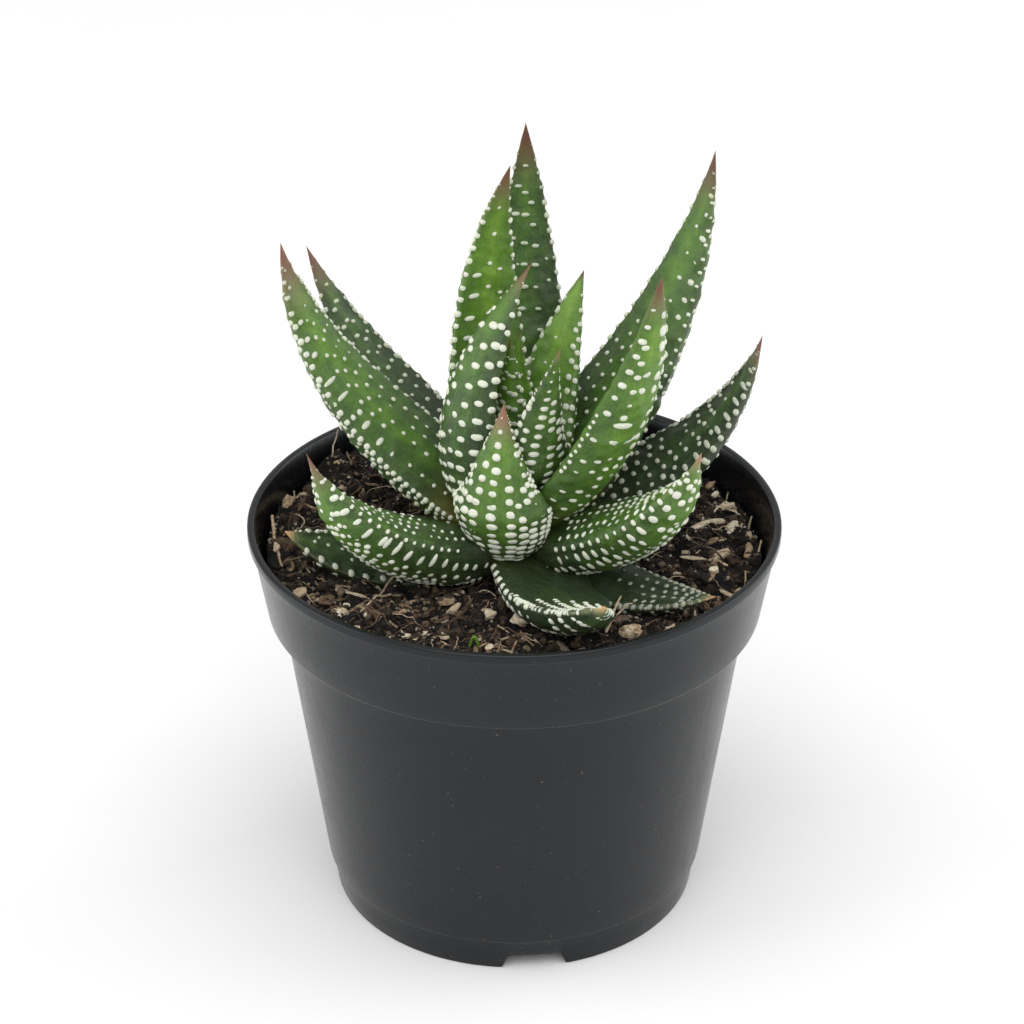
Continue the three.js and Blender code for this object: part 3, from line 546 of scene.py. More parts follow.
def joined(parts):
    """Several (points, faces, attributes) as one."""
    offset = np.cumsum([0] + [len(p) for p, _, _ in parts])
    points = np.concatenate([p for p, _, _ in parts])
    faces = np.concatenate([f + o for (_, f, _), o in zip(parts, offset)])
    return points, faces, {k: np.concatenate([a[k] for _, _, a in parts]) for k in parts[0][2]}


def walked(places):
    """The distance walked at each of a line's places."""
    return np.append(0, np.cumsum(np.linalg.norm(np.diff(places, axis=0), axis=1)))


def waves(points, wavelength, count, seed):
    """A soft random field: the mean of sine waves of about one wavelength, each along its own
    seeded heading and from its own phase."""
    draw = np.random.default_rng(seed)
    heading = draw.normal(size=(count, points.shape[-1]))
    heading /= np.linalg.norm(heading, axis=1)[:, None]
    pace = 2 * np.pi / (wavelength * draw.uniform(0.75, 1.35, count))
    phase = draw.uniform(0, 2 * np.pi, count)
    total = np.zeros(points.shape[:-1])
    for h, w, p in zip(heading, pace, phase):
        total += np.sin(points @ h * w + p)
    return total / np.sqrt(count / 2)


# ---------------------------------------------------------------- leaf surface

HALF_TURN = 720  # steps in half a section
FINE = np.linspace(0, 2 * np.pi, 2 * HALF_TURN + 1)
TIP_HALF_WIDTH = 0.315  # the least half width, which shrinks only in the last quarter


def section_of(leaf):
    """The leaf's section for a half width of 1: two half ellipses joined at the margins, with
    the shallow one towards the stem. Gives the distance round at each of the fine angles, and
    the second margin's as a share of the whole way."""
    x = np.cos(FINE)
    y = np.sin(FINE) * 2 * np.where(FINE < np.pi, leaf["crown"], leaf["depth"])
    around = np.append(0, np.cumsum(np.hypot(np.diff(x), np.diff(y))))
    return around, around[HALF_TURN] / around[-1]


def frames(leaf, share):
    """Unit vectors along a leaf, to its first margin and towards its inner face: azimuth, rise
    and roll run from seat to tip as in the CAD."""
    azimuth = np.radians(leaf["azimuth"] + leaf["sweep"] * share)
    seat, tip = leaf["rise"]
    rise = np.radians(seat + (tip - seat) * share ** leaf["bend"])
    roll = np.radians(leaf["roll"][0] + (leaf["roll"][1] - leaf["roll"][0]) * share)
    along = lathe(np.cos(rise), np.sin(rise), azimuth)
    side = np.stack([-np.sin(azimuth), np.cos(azimuth), 0 * azimuth], -1)
    inward = np.cross(along, side)
    c, s = np.cos(roll)[..., None], np.sin(roll)[..., None]
    return along, side * c + inward * s, inward * c - side * s


def midrib(leaf, share):
    """Points on the midrib, walked in short steps from the seat on the stem."""
    along, _, _ = frames(leaf, (np.arange(MIDRIB_STEPS) + 0.5) / MIDRIB_STEPS)
    distance, height = leaf["seat"]
    start = lathe(distance, height, np.radians(leaf["azimuth"]), ROSETTE)
    walk = np.concatenate([[start], start + np.cumsum(along, 0) * leaf["length"] / MIDRIB_STEPS])
    at = np.linspace(0, 1, MIDRIB_STEPS + 1)
    return np.stack([np.interp(share, at, walk[:, k]) for k in range(3)], -1)


def half_width(leaf, share):
    """Half the width: it swells from the foot, then narrows to the tip, which some leaves draw
    out into a fine point."""
    widest = leaf["widest"]
    low = 1 - (1 - leaf["foot"]) * (np.clip(widest - share, 0, 1) / widest) ** 2
    high = 1 - (np.clip(share - widest, 0, 1) / (1 - widest)) ** leaf["taper"]
    full = np.where(share < widest, low, high) * leaf["width"] / 2
    full = full * (1 - leaf["point"] * np.exp(-((1 - share) * leaf["length"] / POINT_LENGTH) ** 2))
    return np.maximum(full, TIP_HALF_WIDTH * np.sqrt(np.clip(4 * (1 - share), 0, 1)))


def girth(leaf, share):
    """The distance round a leaf's skin."""
    return section_of(leaf)[0][-1] * half_width(leaf, share)


def surface(leaf, share, around):
    """Points of a leaf's smooth skin. around is the distance round the section from the first
    margin, as a share of the whole way."""
    table, _ = section_of(leaf)
    angle = np.interp(around % 1, table / table[-1], FINE)
    _, side, inward = frames(leaf, share)
    half = half_width(leaf, share)
    deep = 2 * np.where(angle < np.pi, leaf["crown"], leaf["depth"])
    across = (half * np.cos(angle))[..., None] * side
    through = (half * deep * np.sin(angle))[..., None] * inward
    return midrib(leaf, share) + across + through


def skin(leaf, share, around):
    """Points of the skin and the directions that face out of it."""
    e = 1e-3
    up = (surface(leaf, np.minimum(share + e, 1), around)
          - surface(leaf, np.maximum(share - e, 0), around))
    out = np.cross(surface(leaf, share, around + e) - surface(leaf, share, around - e), up)
    out /= np.linalg.norm(out, axis=-1)[..., None] + 1e-12
    return surface(leaf, share, around), out


# ---------------------------------------------------------------- tubercles


def place_round(leaf, face, place):
    """The distance round the section of a place on a face, which runs from -1 at the first
    margin to 1 at the second."""
    _, second = section_of(leaf)
    part = (place + 1) / 2
    return part * second if face == "in" else 1 - part * (1 - second)


def tubercles(leaf, columns, seed):
    """Where tubercles stand: rows of (share, round, half wide, half tall, height). Each column
    is walked from its first to its last share, a pitch at a time, with a little chance in every
    place and size. They shrink with the leaf, and stand higher at the margins."""
    draw = np.random.default_rng(seed)
    found = []
    for face, place0, place1, first, last, p0, p1, w0, w1, t0, t1 in columns:
        single = (last - first) * leaf["length"] < p0
        share = first + (0 if single else draw.uniform(0, 0.5) * p0 / leaf["length"])
        while share < last:
            part = (share - first) / (last - first)
            pitch = p0 + (p1 - p0) * part
            size = draw.uniform(0.92, 1.08)
            place = place0 + (place1 - place0) * part
            place += 0 if abs(place) > 0.97 else draw.normal(0, 0.014)
            reach = min(1.0, half_width(leaf, share) / 3.0)
            found.append((
                share + draw.normal(0, 0.04) * pitch / leaf["length"],
                place_round(leaf, face, place),
                (w0 + (w1 - w0) * part) / 2 * size * reach * draw.uniform(0.92, 1.1),
                (t0 + (t1 - t0) * part) / 2 * size * reach,
                draw.uniform(0.30, 0.42) * reach * (1.3 if abs(place) > 0.9 else 1),
            ))
            share += pitch * draw.uniform(0.95, 1.05) / leaf["length"]
    return np.array(found)


# A dome's rings from its foot up: how far out, how high and how white. Its point follows them.
DOME_ROUND = 12
DOME_RINGS = [1.15, 1.0, 0.82, 0.5]
DOME_LIFTS = [-0.3, 0.25, 0.68, 0.93]
DOME_WHITE = [0.0, 1.0, 1.0, 1.0]
DOME_SQUARENESS = 2.3  # 2 would be an ellipse


def domes(leaf, spots):
    """One low dome over each spot: rings at falling radii and rising lifts, closed by a point.
    A ring's points are found on the leaf's own skin, so a long one follows the curve."""
    share, around, wide, tall, height = spots.T[..., None]
    c, s = np.cos(turns(DOME_ROUND)), np.sin(turns(DOME_ROUND))
    bulge = (np.abs(c) ** DOME_SQUARENESS + np.abs(s) ** DOME_SQUARENESS) ** (-1 / DOME_SQUARENESS)
    x, y = (np.append(np.outer(DOME_RINGS, part * bulge), 0) for part in (c, s))
    lift, white = (np.append(np.repeat(part, DOME_ROUND), 1) for part in (DOME_LIFTS, DOME_WHITE))
    at_share = np.clip(share + tall * y / leaf["length"], 0, 0.999)
    at_round = around + wide * x / girth(leaf, share)
    points, out = skin(leaf, at_share, at_round)
    points = points + out * (height * lift)[..., None]
    rings = len(DOME_RINGS)
    faces = np.concatenate([
        quads(rings, DOME_ROUND),
        fan(rings * DOME_ROUND, (rings - 1) * DOME_ROUND, DOME_ROUND, False),
    ])
    return (points.reshape(-1, 3), repeated(faces, len(lift), len(spots)), at_share.ravel(),
            at_round.ravel(), np.tile(white, len(spots)))


# ---------------------------------------------------------------- colours and nodes


def linear(code):
    """An sRGB hex colour as the linear numbers that a shader takes."""
    value = np.array([int(code[i:i + 2], 16) for i in (1, 3, 5)]) / 255
    low = value <= 0.04045
    value = np.where(low, value / 12.92, ((value + 0.055) / 1.055) ** 2.4)
    return (*value.tolist(), 1.0)


def add(tree, kind, sockets=None, stops=(), out=0, **settings):
    """Adds a node and gives one of its outputs. settings are its own choices, sockets its inputs
    by name or number, each a value or the output that feeds it, and stops the places and colours
    of a ramp."""
    made = tree.nodes.new("ShaderNode" + kind)
    for key, value in settings.items():
        setattr(made, key, value)
    for key, value in (sockets or {}).items():
        if isinstance(value, bpy.types.NodeSocket):
            tree.links.new(value, made.inputs[key])
        else:
            made.inputs[key].default_value = value
    for n, (place, colour) in enumerate(stops):
        ramp = made.color_ramp.elements
        stop = ramp[n] if n < len(ramp) else ramp.new(place)
        stop.position = place
        stop.color = linear(colour)
    return made.outputs[out] if made.outputs else None


def material(name, finish, **shader):
    """A material named for the real one. finish(add a node, object coordinates) adds its pattern
    and gives what that feeds into the shader, and shader gives what is the same all over."""
    made = bpy.data.materials.new(name)
    made.use_nodes = True
    made.node_tree.nodes.clear()
    node = functools.partial(add, made.node_tree)
    pattern = finish(node, node("TexCoord", out="Object"))
    node("OutputMaterial", {"Surface": node("BsdfPrincipled", {**shader, **pattern})})
    return made


# What three kinds of node are told every time: a sum is input 0 times input 1 plus input 2, and a
# blend of colours takes them by A and B.
SUM = dict(operation="MULTIPLY_ADD")
BLEND = dict(data_type="RGBA", out=2)
A, B = 6, 7


def leaf_skin(node, place):
    """Waxy leaf skin over juicy green tissue: green from grey to bright with a mottle of 3 mm,
    streaks along the leaf and a fine grain, a brown dried tip below which the green fades to
    olive, a yellow seat, and dense off-white cork-like tubercles."""
    fresh, brown, pink, warm, pearl = (
        node("Attribute", out="Fac", attribute_name=key)
        for key in ("fresh", "brown", "pink", "warm", "pearl"))
    lane = node("Attribute", out="Vector", attribute_name="lane")
    mottle = node("TexNoise", {"Vector": place, "Scale": 0.3 * MM, "Detail": 4, "Roughness": 0.6})
    streak = node("TexNoise", {"Vector": lane, "Scale": 1.0, "Detail": 3, "Roughness": 0.55})
    fine = node("TexNoise", {"Vector": place, "Scale": 2.2 * MM, "Detail": 3, "Roughness": 0.6})
    tone = fresh
    for noise, weight in ((mottle, 0.7), (streak, 0.25), (fine, 0.55)):
        swing = node("Math", {0: noise, 1: 0.5}, operation="SUBTRACT")
        tone = node("Math", {0: swing, 1: weight, 2: tone}, **SUM)
    green = node("ValToRGB", {"Fac": tone}, [
        (0, "#26361f"), (0.25, "#374f26"), (0.5, "#4a6b29"), (0.75, "#5d842b"), (1, "#7a9e38")])
    gold = node("Mix", {0: warm, A: green, B: linear("#7d702b")}, **BLEND)
    # Here swing is the fine grain's.
    dry = node("Math", {0: swing, 1: 0.5, 2: brown}, **SUM)
    dried = node("MapRange", {"Value": dry, "From Min": 0.3, "From Max": 0.85})
    wilted = node("MapRange", {"Value": dry, "From Min": 0.02, "From Max": 0.4, "To Max": 0.75})
    tips = node("ValToRGB", {"Fac": pink}, [(0, "#54291d"), (0.6, "#946554"), (1, "#d3a679")])
    olive = node("Mix", {0: pink, A: linear("#5b5534"), B: linear("#94946a")}, **BLEND)
    fading = node("Mix", {0: wilted, A: gold, B: olive}, **BLEND)
    body = node("Mix", {0: dried, A: fading, B: tips}, **BLEND)
    white = node("ValToRGB", {"Fac": fine}, [(0.3, "#cdd6b8"), (0.65, "#e6ead8")])
    crisp = node("MapRange", {"Value": pearl, "From Min": 0.12, "From Max": 1.0})
    gloss = node("MapRange", {"Value": fine, "To Min": 0.38, "To Max": 0.54})
    relief = node("Bump", {"Height": fine, "Strength": 0.25, "Distance": 0.0002})
    return {
        "Base Color": node("Mix", {0: crisp, A: body, B: white}, **BLEND),
        "Roughness": node("Mix", {0: crisp, 2: gloss, 3: 0.55}),
        "Normal": node("Bump", {
            "Height": mottle, "Strength": 0.3, "Distance": 0.0006, "Normal": relief}),
    }


LEAF_SKIN = material("haworthia_leaf_skin", leaf_skin, **{
    "IOR": 1.45, "Subsurface Weight": 0.12, "Subsurface Scale": 0.002,
    "Subsurface Radius": (0.6, 1.0, 0.25)})


def potting_mix(node, place):
    """Moist peat with bark crumbs: brown, with tan flecks under 1 mm, matt, and near-black at its
    dark end, which is painted shadow for the gaps between the crumbs.
    """
    shade = node("Attribute", out="Fac", attribute_name="shade")
    patch = node("TexNoise", {"Vector": place, "Scale": 0.5 * MM, "Detail": 8, "Roughness": 0.75})
    grit = node("TexNoise", {"Vector": place, "Scale": 2.4 * MM, "Detail": 4, "Roughness": 0.75})
    flecks = node("TexNoise", {
        "Vector": place, "Scale": 1.5 * MM, "Detail": 2, "Roughness": 0.5, "Distortion": 1.5})
    mixed = node("Math", {0: patch, 1: 0.6, 2: shade}, **SUM)
    # The near-black stops are painted shadow: the soil's body takes them and shows only in the gaps
    # between the crumbs.
    colour = node("ValToRGB", {"Fac": mixed}, [
        (0.2, "#050403"), (0.38, "#150e0a"), (0.52, "#34271d"), (0.68, "#65533f"),
        (0.85, "#998974"), (1, "#cfc4b0")])
    tan = node("MapRange", {"Value": flecks, "From Min": 0.66, "From Max": 0.74, "To Max": 0.55})
    return {
        "Base Color": node("Mix", {0: tan, A: colour, B: linear("#9c8264")}, **BLEND),
        "Normal": node("Bump", {"Height": grit, "Strength": 1.0, "Distance": 0.0006}),
    }


POTTING_MIX = material("peat_and_bark_mix", potting_mix, Roughness=0.92)


def bark_wood(node, place):
    """Composted bark: red-brown to tan with darker grain about 1 mm wide, bleached where pale."""
    shade = node("Attribute", out="Fac", attribute_name="shade")
    grain = node("TexNoise", {"Vector": place, "Scale": 0.9 * MM, "Detail": 5, "Roughness": 0.7})
    mixed = node("Math", {0: grain, 1: 0.9, 2: shade}, **SUM)
    colour = node("ValToRGB", {"Fac": mixed}, [
        (0.3, "#120c08"), (0.55, "#392a1f"), (0.8, "#775f48"), (1, "#b39c7e")])
    pale = node("MapRange", {"Value": mixed, "From Min": 1.0, "From Max": 1.4})
    return {
        "Base Color": node("Mix", {0: pale, A: colour, B: linear("#e6dac2")}, **BLEND),
        "Normal": node("Bump", {"Height": grain, "Strength": 0.8, "Distance": 0.0005}),
    }


BARK = material("composted_bark", bark_wood, Roughness=0.85)


def perlite_stone(node, place):
    """Perlite, an expanded glassy stone: off-white, stained by peat, with pits under 1 mm."""
    shade = node("Attribute", out="Fac", attribute_name="shade")
    pits = node("TexNoise", {"Vector": place, "Scale": 1.0 * MM, "Detail": 6, "Roughness": 0.65})
    stain = node("Math", {0: pits, 1: 1.5, 2: shade}, **SUM)
    half = node("Math", {0: stain, 1: 0.5}, operation="MULTIPLY")
    return {
        "Base Color": node("ValToRGB", {"Fac": half}, [
            (0.4, "#4a3522"), (0.55, "#a08664"), (0.72, "#d3c4a8"), (0.9, "#efe8da")]),
        "Normal": node("Bump", {"Height": pits, "Strength": 0.8, "Distance": 0.0004}),
    }


PERLITE = material("expanded_perlite", perlite_stone, Roughness=0.8)


def pot_plastic(node, place):
    """Injection-moulded polypropylene, black: satin, in clouds 20 mm across, with upright rubs
    1 mm wide and faint specks of dust."""
    cloud = node("TexNoise", {"Vector": place, "Scale": 0.05 * MM, "Detail": 6, "Roughness": 0.65})
    speck = node("TexNoise", {"Vector": place, "Scale": 1.3 * MM, "Detail": 2, "Roughness": 0.5})
    upright = node("Mapping", {"Vector": place, "Scale": (1.0, 1.0, 0.05)})
    rubs = node("TexNoise", {"Vector": upright, "Scale": 0.9 * MM, "Detail": 4, "Roughness": 0.7})
    colour = node("ValToRGB", {"Fac": cloud}, [(0.3, "#0b0c0e"), (0.7, "#121315")])
    dust = node("MapRange", {"Value": speck, "From Min": 0.71, "From Max": 0.77, "To Max": 0.5})
    gloss = node("MapRange", {
        "Value": cloud, "From Min": 0.3, "From Max": 0.7, "To Min": 0.10, "To Max": 0.19})
    return {
        "Base Color": node("Mix", {0: dust, A: colour, B: linear("#6f6a63")}, **BLEND),
        "Roughness": node("Math", {0: rubs, 1: 0.22, 2: gloss}, **SUM),
        "Normal": node("Bump", {"Height": speck, "Strength": 0.14, "Distance": 0.0002}),
    }


POT_PLASTIC = material("moulded_polypropylene", pot_plastic, **{
    "IOR": 1.49, "Specular IOR Level": 0.36, "Specular Tint": (0.92, 0.96, 1.0, 1.0)})


def stem_tissue(node, place):
    """The stem and the dried leaf bases on it: straw and brown, in patches of 2 mm."""
    layers = node("TexNoise", {"Vector": place, "Scale": 0.5 * MM, "Detail": 5, "Roughness": 0.6})
    return {"Base Color": node("ValToRGB", {"Fac": layers}, [
        (0.3, "#3f3420"), (0.6, "#77703a"), (0.8, "#9a9256")])}


STEM_TISSUE = material("stem_tissue", stem_tissue, Roughness=0.7)


def studio_paper(node, place):
    """Matt white background paper, faintly uneven."""
    fibre = node("TexNoise", {"Vector": place, "Scale": 30.0, "Detail": 3, "Roughness": 0.5})
    return {"Base Color": node("ValToRGB", {"Fac": fibre}, [(0.3, "#f1f1f1"), (0.7, "#f2f2f2")])}


STUDIO_PAPER = material("white_background_paper", studio_paper, Roughness=0.9)

# ---------------------------------------------------------------- leaves

SKIN_STEP = 0.5  # spacing of the skin's points
TIP_CLOSURE = 0.3  # length of the tip past the last ring
PIMPLE = 0.44  # how far the green skin rises towards a tubercle, as a share of its height
PIMPLE_REACH = 1.35  # how far out that rise goes, in tubercle widths


def leaf_piece(name, seed):
    """A leaf: its smooth skin as a grid of share by distance round, with low random swells and a
    rise round each tubercle, and the white domes of its tubercles. Gives the skin's points."""
    leaf = {**COMMON, **LEAVES[name]}
    fresh, blush, pink, warm, frost_and_shade, shadow = LOOKS[name]
    spots = tubercles(leaf, PATTERNS.get(name, OUTSIDE + INNER_SPECKS), seed)
    table, second = section_of(leaf)
    rows = int(leaf["length"] / SKIN_STEP)
    count = int(table[-1] * leaf["width"] / 2 / SKIN_STEP)
    share = np.append(np.linspace(0, 1, rows + 1)[:-1], 1 - TIP_CLOSURE / leaf["length"])
    s, r = np.meshgrid(share, np.arange(count) / count, indexing="ij")
    points, out = skin(leaf, s, r)
    swell = 0.12 * waves(points, 7, 9, seed) + 0.05 * waves(points, 2.5, 12, seed + 50)
    swell *= np.clip(half_width(leaf, s) / 4, 0, 1)
    for (at, around, wide, tall, height), way in zip(spots, girth(leaf, spots[:, 0])):
        near = np.abs(share - at) * leaf["length"] < 4 * tall
        gap = np.abs(r[near] - around)
        dx = np.minimum(gap, 1 - gap) * way / (wide * PIMPLE_REACH)
        dy = (s[near] - at) * leaf["length"] / (tall * PIMPLE_REACH)
        swell[near] += PIMPLE * height * np.exp(-(dx ** 2 + dy ** 2))
    points = points + out * swell[..., None]
    grid, faces = tube(points, midrib(leaf, 0.0), surface(leaf, 1.0, 0.0))

    def marks(at, around, white):
        """The numbers that the leaf's material reads at each point: the outer face is a little
        darker, the middle of each face fresher than its edges, and the margins browner."""
        around = around % 1
        outer = np.clip((around - second) * 40, 0, 1)
        off = np.minimum(np.minimum(around, 1 - around), np.abs(around - second))
        edge = np.exp(-(off * girth(leaf, at) / 0.5) ** 2)
        centre = np.clip(off / 0.2, 0, 1) ** 1.3
        dried = np.clip((at - 1 + blush * 2.4) / (blush * 2.2), 0, 1) ** 1.6
        return {
            "fresh": (fresh - 0.06 * outer + 0.10 * at + 0.26 * centre - 0.16
                      - shadow * (1 - at) ** 2.2),
            "brown": np.maximum(dried, 0.3 * edge * at ** 4),
            "pink": np.full(len(at), float(pink)),
            "warm": warm * np.clip(1 - at / 0.22, 0, 1),
            # The tubercles' white is turned down on leaves that lie in shade: painted shade.
            "pearl": white * frost_and_shade * (1 - 0.35 * dried),
            "lane": lathe(9, at * leaf["length"] * 0.08 + seed, 2 * np.pi * around),
        }

    ends = marks(np.append(s, [0, 1]), np.append(r, [0, 0]), np.zeros(len(grid)))
    dome_points, dome_faces, *dome_places = domes(leaf, spots)
    whole = joined([(grid, faces, ends), (dome_points, dome_faces, marks(*dome_places))])
    placed(piece(name + "_fine", *whole[:2], LEAF_SKIN, whole[2]), "leaf_green", name)
    return points.reshape(-1, 3)


leaf_points = {name: leaf_piece(name, 11 + number) for number, name in enumerate(LEAVES)}

# ---------------------------------------------------------------- pot

POT_STEPS = 360
DRAIN_STEPS = 48
DRILL_PAST = 0.5  # how far a drill goes past the floor's faces


def rounded(corners):
    """A profile through corners of (radius, height, rounding): each corner is replaced by a
    short curve that starts and ends its rounding away from it."""
    path = np.array([c[:2] for c in corners], float)
    t = np.linspace(0, 1, 5)
    out = []
    for a, b, c, (_, _, away) in zip(np.roll(path, 1, 0), path, np.roll(path, -1, 0), corners):
        if away == 0:
            out.append(b[None])
            continue
        start = b + (a - b) / np.linalg.norm(a - b) * away
        end = b + (c - b) / np.linalg.norm(c - b) * away
        out.append(np.outer((1 - t) ** 2, start) + np.outer(2 * t * (1 - t), b)
                   + np.outer(t ** 2, end))
    return np.concatenate(out)


def densified(path, step):
    """The same profile with no stretch longer than a step."""
    out = []
    for a, b in zip(path[:-1], path[1:]):
        count = max(1, int(np.ceil(np.linalg.norm(b - a) / step)))
        out.append(a + (b - a) * (np.arange(count) / count)[:, None])
    return np.concatenate(out + [path[-1:]])


def notch_rise(angle):
    """How far the skirt's lower edge is cut up at an angle: a flat roof with sloping sides."""
    turn = 2 * np.pi / NOTCH_COUNT
    first = np.radians(NOTCH_TURN - 90)
    away = np.abs((angle - first + turn / 2) % turn - turn / 2) * SKIRT_FOOT_RADIUS
    slope = (NOTCH_WIDTH_BELOW - NOTCH_WIDTH_ABOVE) / 2
    return NOTCH_HEIGHT * np.clip((NOTCH_WIDTH_BELOW / 2 - away) / slope, 0, 1)


def pot_piece():
    """The pot: its rounded profile turned about its axis, with the skirt's lower edge raised in
    the notches, and holes drilled through its floor."""
    w = WALL
    path = densified(rounded([
        (0, FLOOR_UNDERSIDE, 0),
        (SKIRT_FOOT_RADIUS - w, FLOOR_UNDERSIDE, 0.2),
        (SKIRT_FOOT_RADIUS - w, 0, 0.2),
        (SKIRT_FOOT_RADIUS, 0, 0.3),
        (SKIRT_TOP_RADIUS, SKIRT_HEIGHT, 0.15),
        (BODY_FOOT_RADIUS, SKIRT_HEIGHT + 0.3, 0.3),
        (BODY_TOP_RADIUS, BODY_TOP, 0.5),
        (COLLAR_FOOT_RADIUS, COLLAR_FOOT, 0.5),
        (RIM_RADIUS - LIP_OVERHANG, POT_HEIGHT - LIP_DEPTH, 0.1),
        (RIM_RADIUS, POT_HEIGHT - LIP_DEPTH + 0.2, 0.3),
        (RIM_RADIUS, POT_HEIGHT, 0.55),
        (RIM_RADIUS - w, POT_HEIGHT, 0.5),
        (RIM_RADIUS - LIP_OVERHANG - w, POT_HEIGHT - LIP_DEPTH, 0.8),
        (COLLAR_FOOT_RADIUS - w, COLLAR_FOOT - STEP_SLOPE, 0.5),
        (BODY_TOP_RADIUS - w, BODY_TOP - STEP_SLOPE, 0.5),
        (BODY_FOOT_RADIUS - w, FLOOR_TOP, 0.8),
        (0, FLOOR_TOP, 0),
    ]), 4)[1:-1]
    angle = turns(POT_STEPS)
    radius, height = (np.repeat(path[:, k:k + 1], POT_STEPS, 1) for k in (0, 1))
    rise = notch_rise(angle)[None]
    outside = (radius > SKIRT_FOOT_RADIUS - w / 2) & (height < SKIRT_HEIGHT)
    inside = (radius <= SKIRT_FOOT_RADIUS - w / 2) & (height < FLOOR_UNDERSIDE)
    height = np.where(outside, rise + height * (1 - rise / SKIRT_HEIGHT), height)
    height = np.where(inside, rise + height * (1 - rise / FLOOR_UNDERSIDE), height)
    points, faces = tube(lathe(radius, height, angle), [0, 0, FLOOR_UNDERSIDE], [0, 0, FLOOR_TOP])
    made = piece("pot_fine", points, faces, POT_PLASTIC)
    centres = lathe(DRAIN_CIRCLE, 0, turns(DRAIN_COUNT))[:, :2]
    ends = (FLOOR_UNDERSIDE - DRILL_PAST, FLOOR_TOP + DRILL_PAST)
    parts = []
    for x, y in [(0, 0), *centres]:
        rings = np.array([lathe(DRAIN_RADIUS, z, turns(DRAIN_STEPS), (x, y)) for z in ends])
        parts.append((*tube(rings, [x, y, ends[0]], [x, y, ends[1]]), {}))
    drills = piece("drills", *joined(parts)[:2], POT_PLASTIC)
    cut = made.modifiers.new("drains", "BOOLEAN")
    cut.operation = "DIFFERENCE"
    cut.solver = "EXACT"
    cut.object = drills
    bpy.context.view_layer.update()
    holed = made.evaluated_get(bpy.context.evaluated_depsgraph_get())
    mesh = bpy.data.meshes.new_from_object(holed)
    made.modifiers.clear()
    made.data = mesh
    bpy.data.objects.remove(drills)
    placed(made, "pot_plastic", "pot")


pot_piece()

# ---------------------------------------------------------------- soil

HEAP = (-33, 31)
HEAP_HEIGHT = 2.0
HEAP_SPREAD = 90  # square of the distance over which it falls to a third
SOIL_STEPS = 420
SOIL_RINGS = 108
WALL_ROOM = 0.4  # kept free between the soil and the pot's wall


def cad_level(x, y):
    """The soil's level in the CAD: it rises to the rear left."""
    away = np.radians(SOIL_RISE_AZIMUTH)
    return SOIL_LEVEL + SOIL_RISE * (x * np.cos(away) + y * np.sin(away)) / RIM_RADIUS


def soil_height(x, y):
    """The soil's level with a heap at the rear left, lumps and clods."""
    flat = np.stack([x, y], -1)
    heap = HEAP_HEIGHT * np.exp(-((x - HEAP[0]) ** 2 + (y - HEAP[1]) ** 2) / HEAP_SPREAD)
    lumps = 0.55 * waves(flat, 12, 7, 3) + 0.45 * waves(flat, 5, 9, 4)
    clods = 0.45 * np.abs(waves(flat, 3.2, 9, 5)) + 0.2 * waves(flat, 1.3, 12, 6)
    return cad_level(x, y) + heap + lumps + clods


def inner_wall(height):
    """Radius of the pot's inner wall at a height in its collar."""
    slope = (RIM_RADIUS - LIP_OVERHANG - COLLAR_FOOT_RADIUS) / (
        POT_HEIGHT - LIP_DEPTH - COLLAR_FOOT)
    return COLLAR_FOOT_RADIUS - WALL + slope * (height - COLLAR_FOOT)


def soil_piece():
    """The soil's body: a lumpy disc of rings out to the wall, then down its sides to the pot's
    floor."""
    angle = turns(SOIL_STEPS)
    radii = np.linspace(0.5, inner_wall(SOIL_LEVEL - 1) - WALL_ROOM, SOIL_RINGS)
    r, a = np.meshgrid(radii, angle, indexing="ij")
    top = lathe(r, soil_height(r * np.cos(a), r * np.sin(a)), a)
    sides = [lathe(radius - WALL - 2 * GAP, height, angle) for radius, height in (
        (COLLAR_FOOT_RADIUS, COLLAR_FOOT - STEP_SLOPE),
        (BODY_TOP_RADIUS, BODY_TOP - STEP_SLOPE),
        (BODY_FOOT_RADIUS, FLOOR_TOP + GAP),
    )]
    rings = np.concatenate([top, np.array(sides)])[::-1]
    points, faces = tube(rings, [0, 0, FLOOR_TOP + GAP], [0, 0, soil_height(0, 0)])
    # A shade near 0 gives the body the mix's near-black: painted shadow in the gaps between the
    # crumbs that lie on it.
    shade = 0.05 * waves(points, 9, 9, 8)
    placed(piece("soil_fine", points, faces, POTTING_MIX, {"shade": shade}), "soil_mix", "soil")


soil_piece()

# Every seventh skin point of the leaves that lie low.
LOW_LEAVES = np.concatenate([leaf_points[n][::7] for n in LEAVES if "low" in n or "soil" in n])
AT_ONCE = 400  # places compared in one go, which keeps the arrays small


def clear_of_leaves(spots, reach):
    """Which places keep a distance from the low leaves."""
    free = np.ones(len(spots), bool)
    for n in range(0, len(spots), AT_ONCE):
        gap = np.linalg.norm(spots[n:n + AT_ONCE, None] - LOW_LEAVES[None], axis=-1).min(1)
        free[n:n + AT_ONCE] = gap > reach[n:n + AT_ONCE]
    return free


def strewn(size, count, draw, heaped=None):
    """Seeded places spread evenly over the soil, out to the wall and clear of the leaves, for
    things of a size from and to, most of them small: the centres and the sizes. Flat things lie
    on the soil, and grains up to so many of their sizes higher where they are heaped."""
    across = size[0] + (size[1] - size[0]) * draw.uniform(0, 1, count) ** 2
    lift = 0.14 if heaped is None else 0.15 + heaped * draw.uniform(0, 1, count) ** 2
    r = np.sqrt(draw.uniform(0.02, 1, count)) * (inner_wall(SOIL_LEVEL) - WALL_ROOM - across / 2)
    a = draw.uniform(0, 2 * np.pi, count)
    x, y = r * np.cos(a), r * np.sin(a)
    spots = np.stack([x, y, soil_height(x, y) + lift * across], -1)
    free = clear_of_leaves(spots, across * 0.5 + 0.2)
    return spots[free], across[free]


def paled(dark, spread, most, draw, count):
    """Shades from a dark one up, most of them near it and a few much paler."""
    return dark + spread * draw.exponential(1, count).clip(0, most)


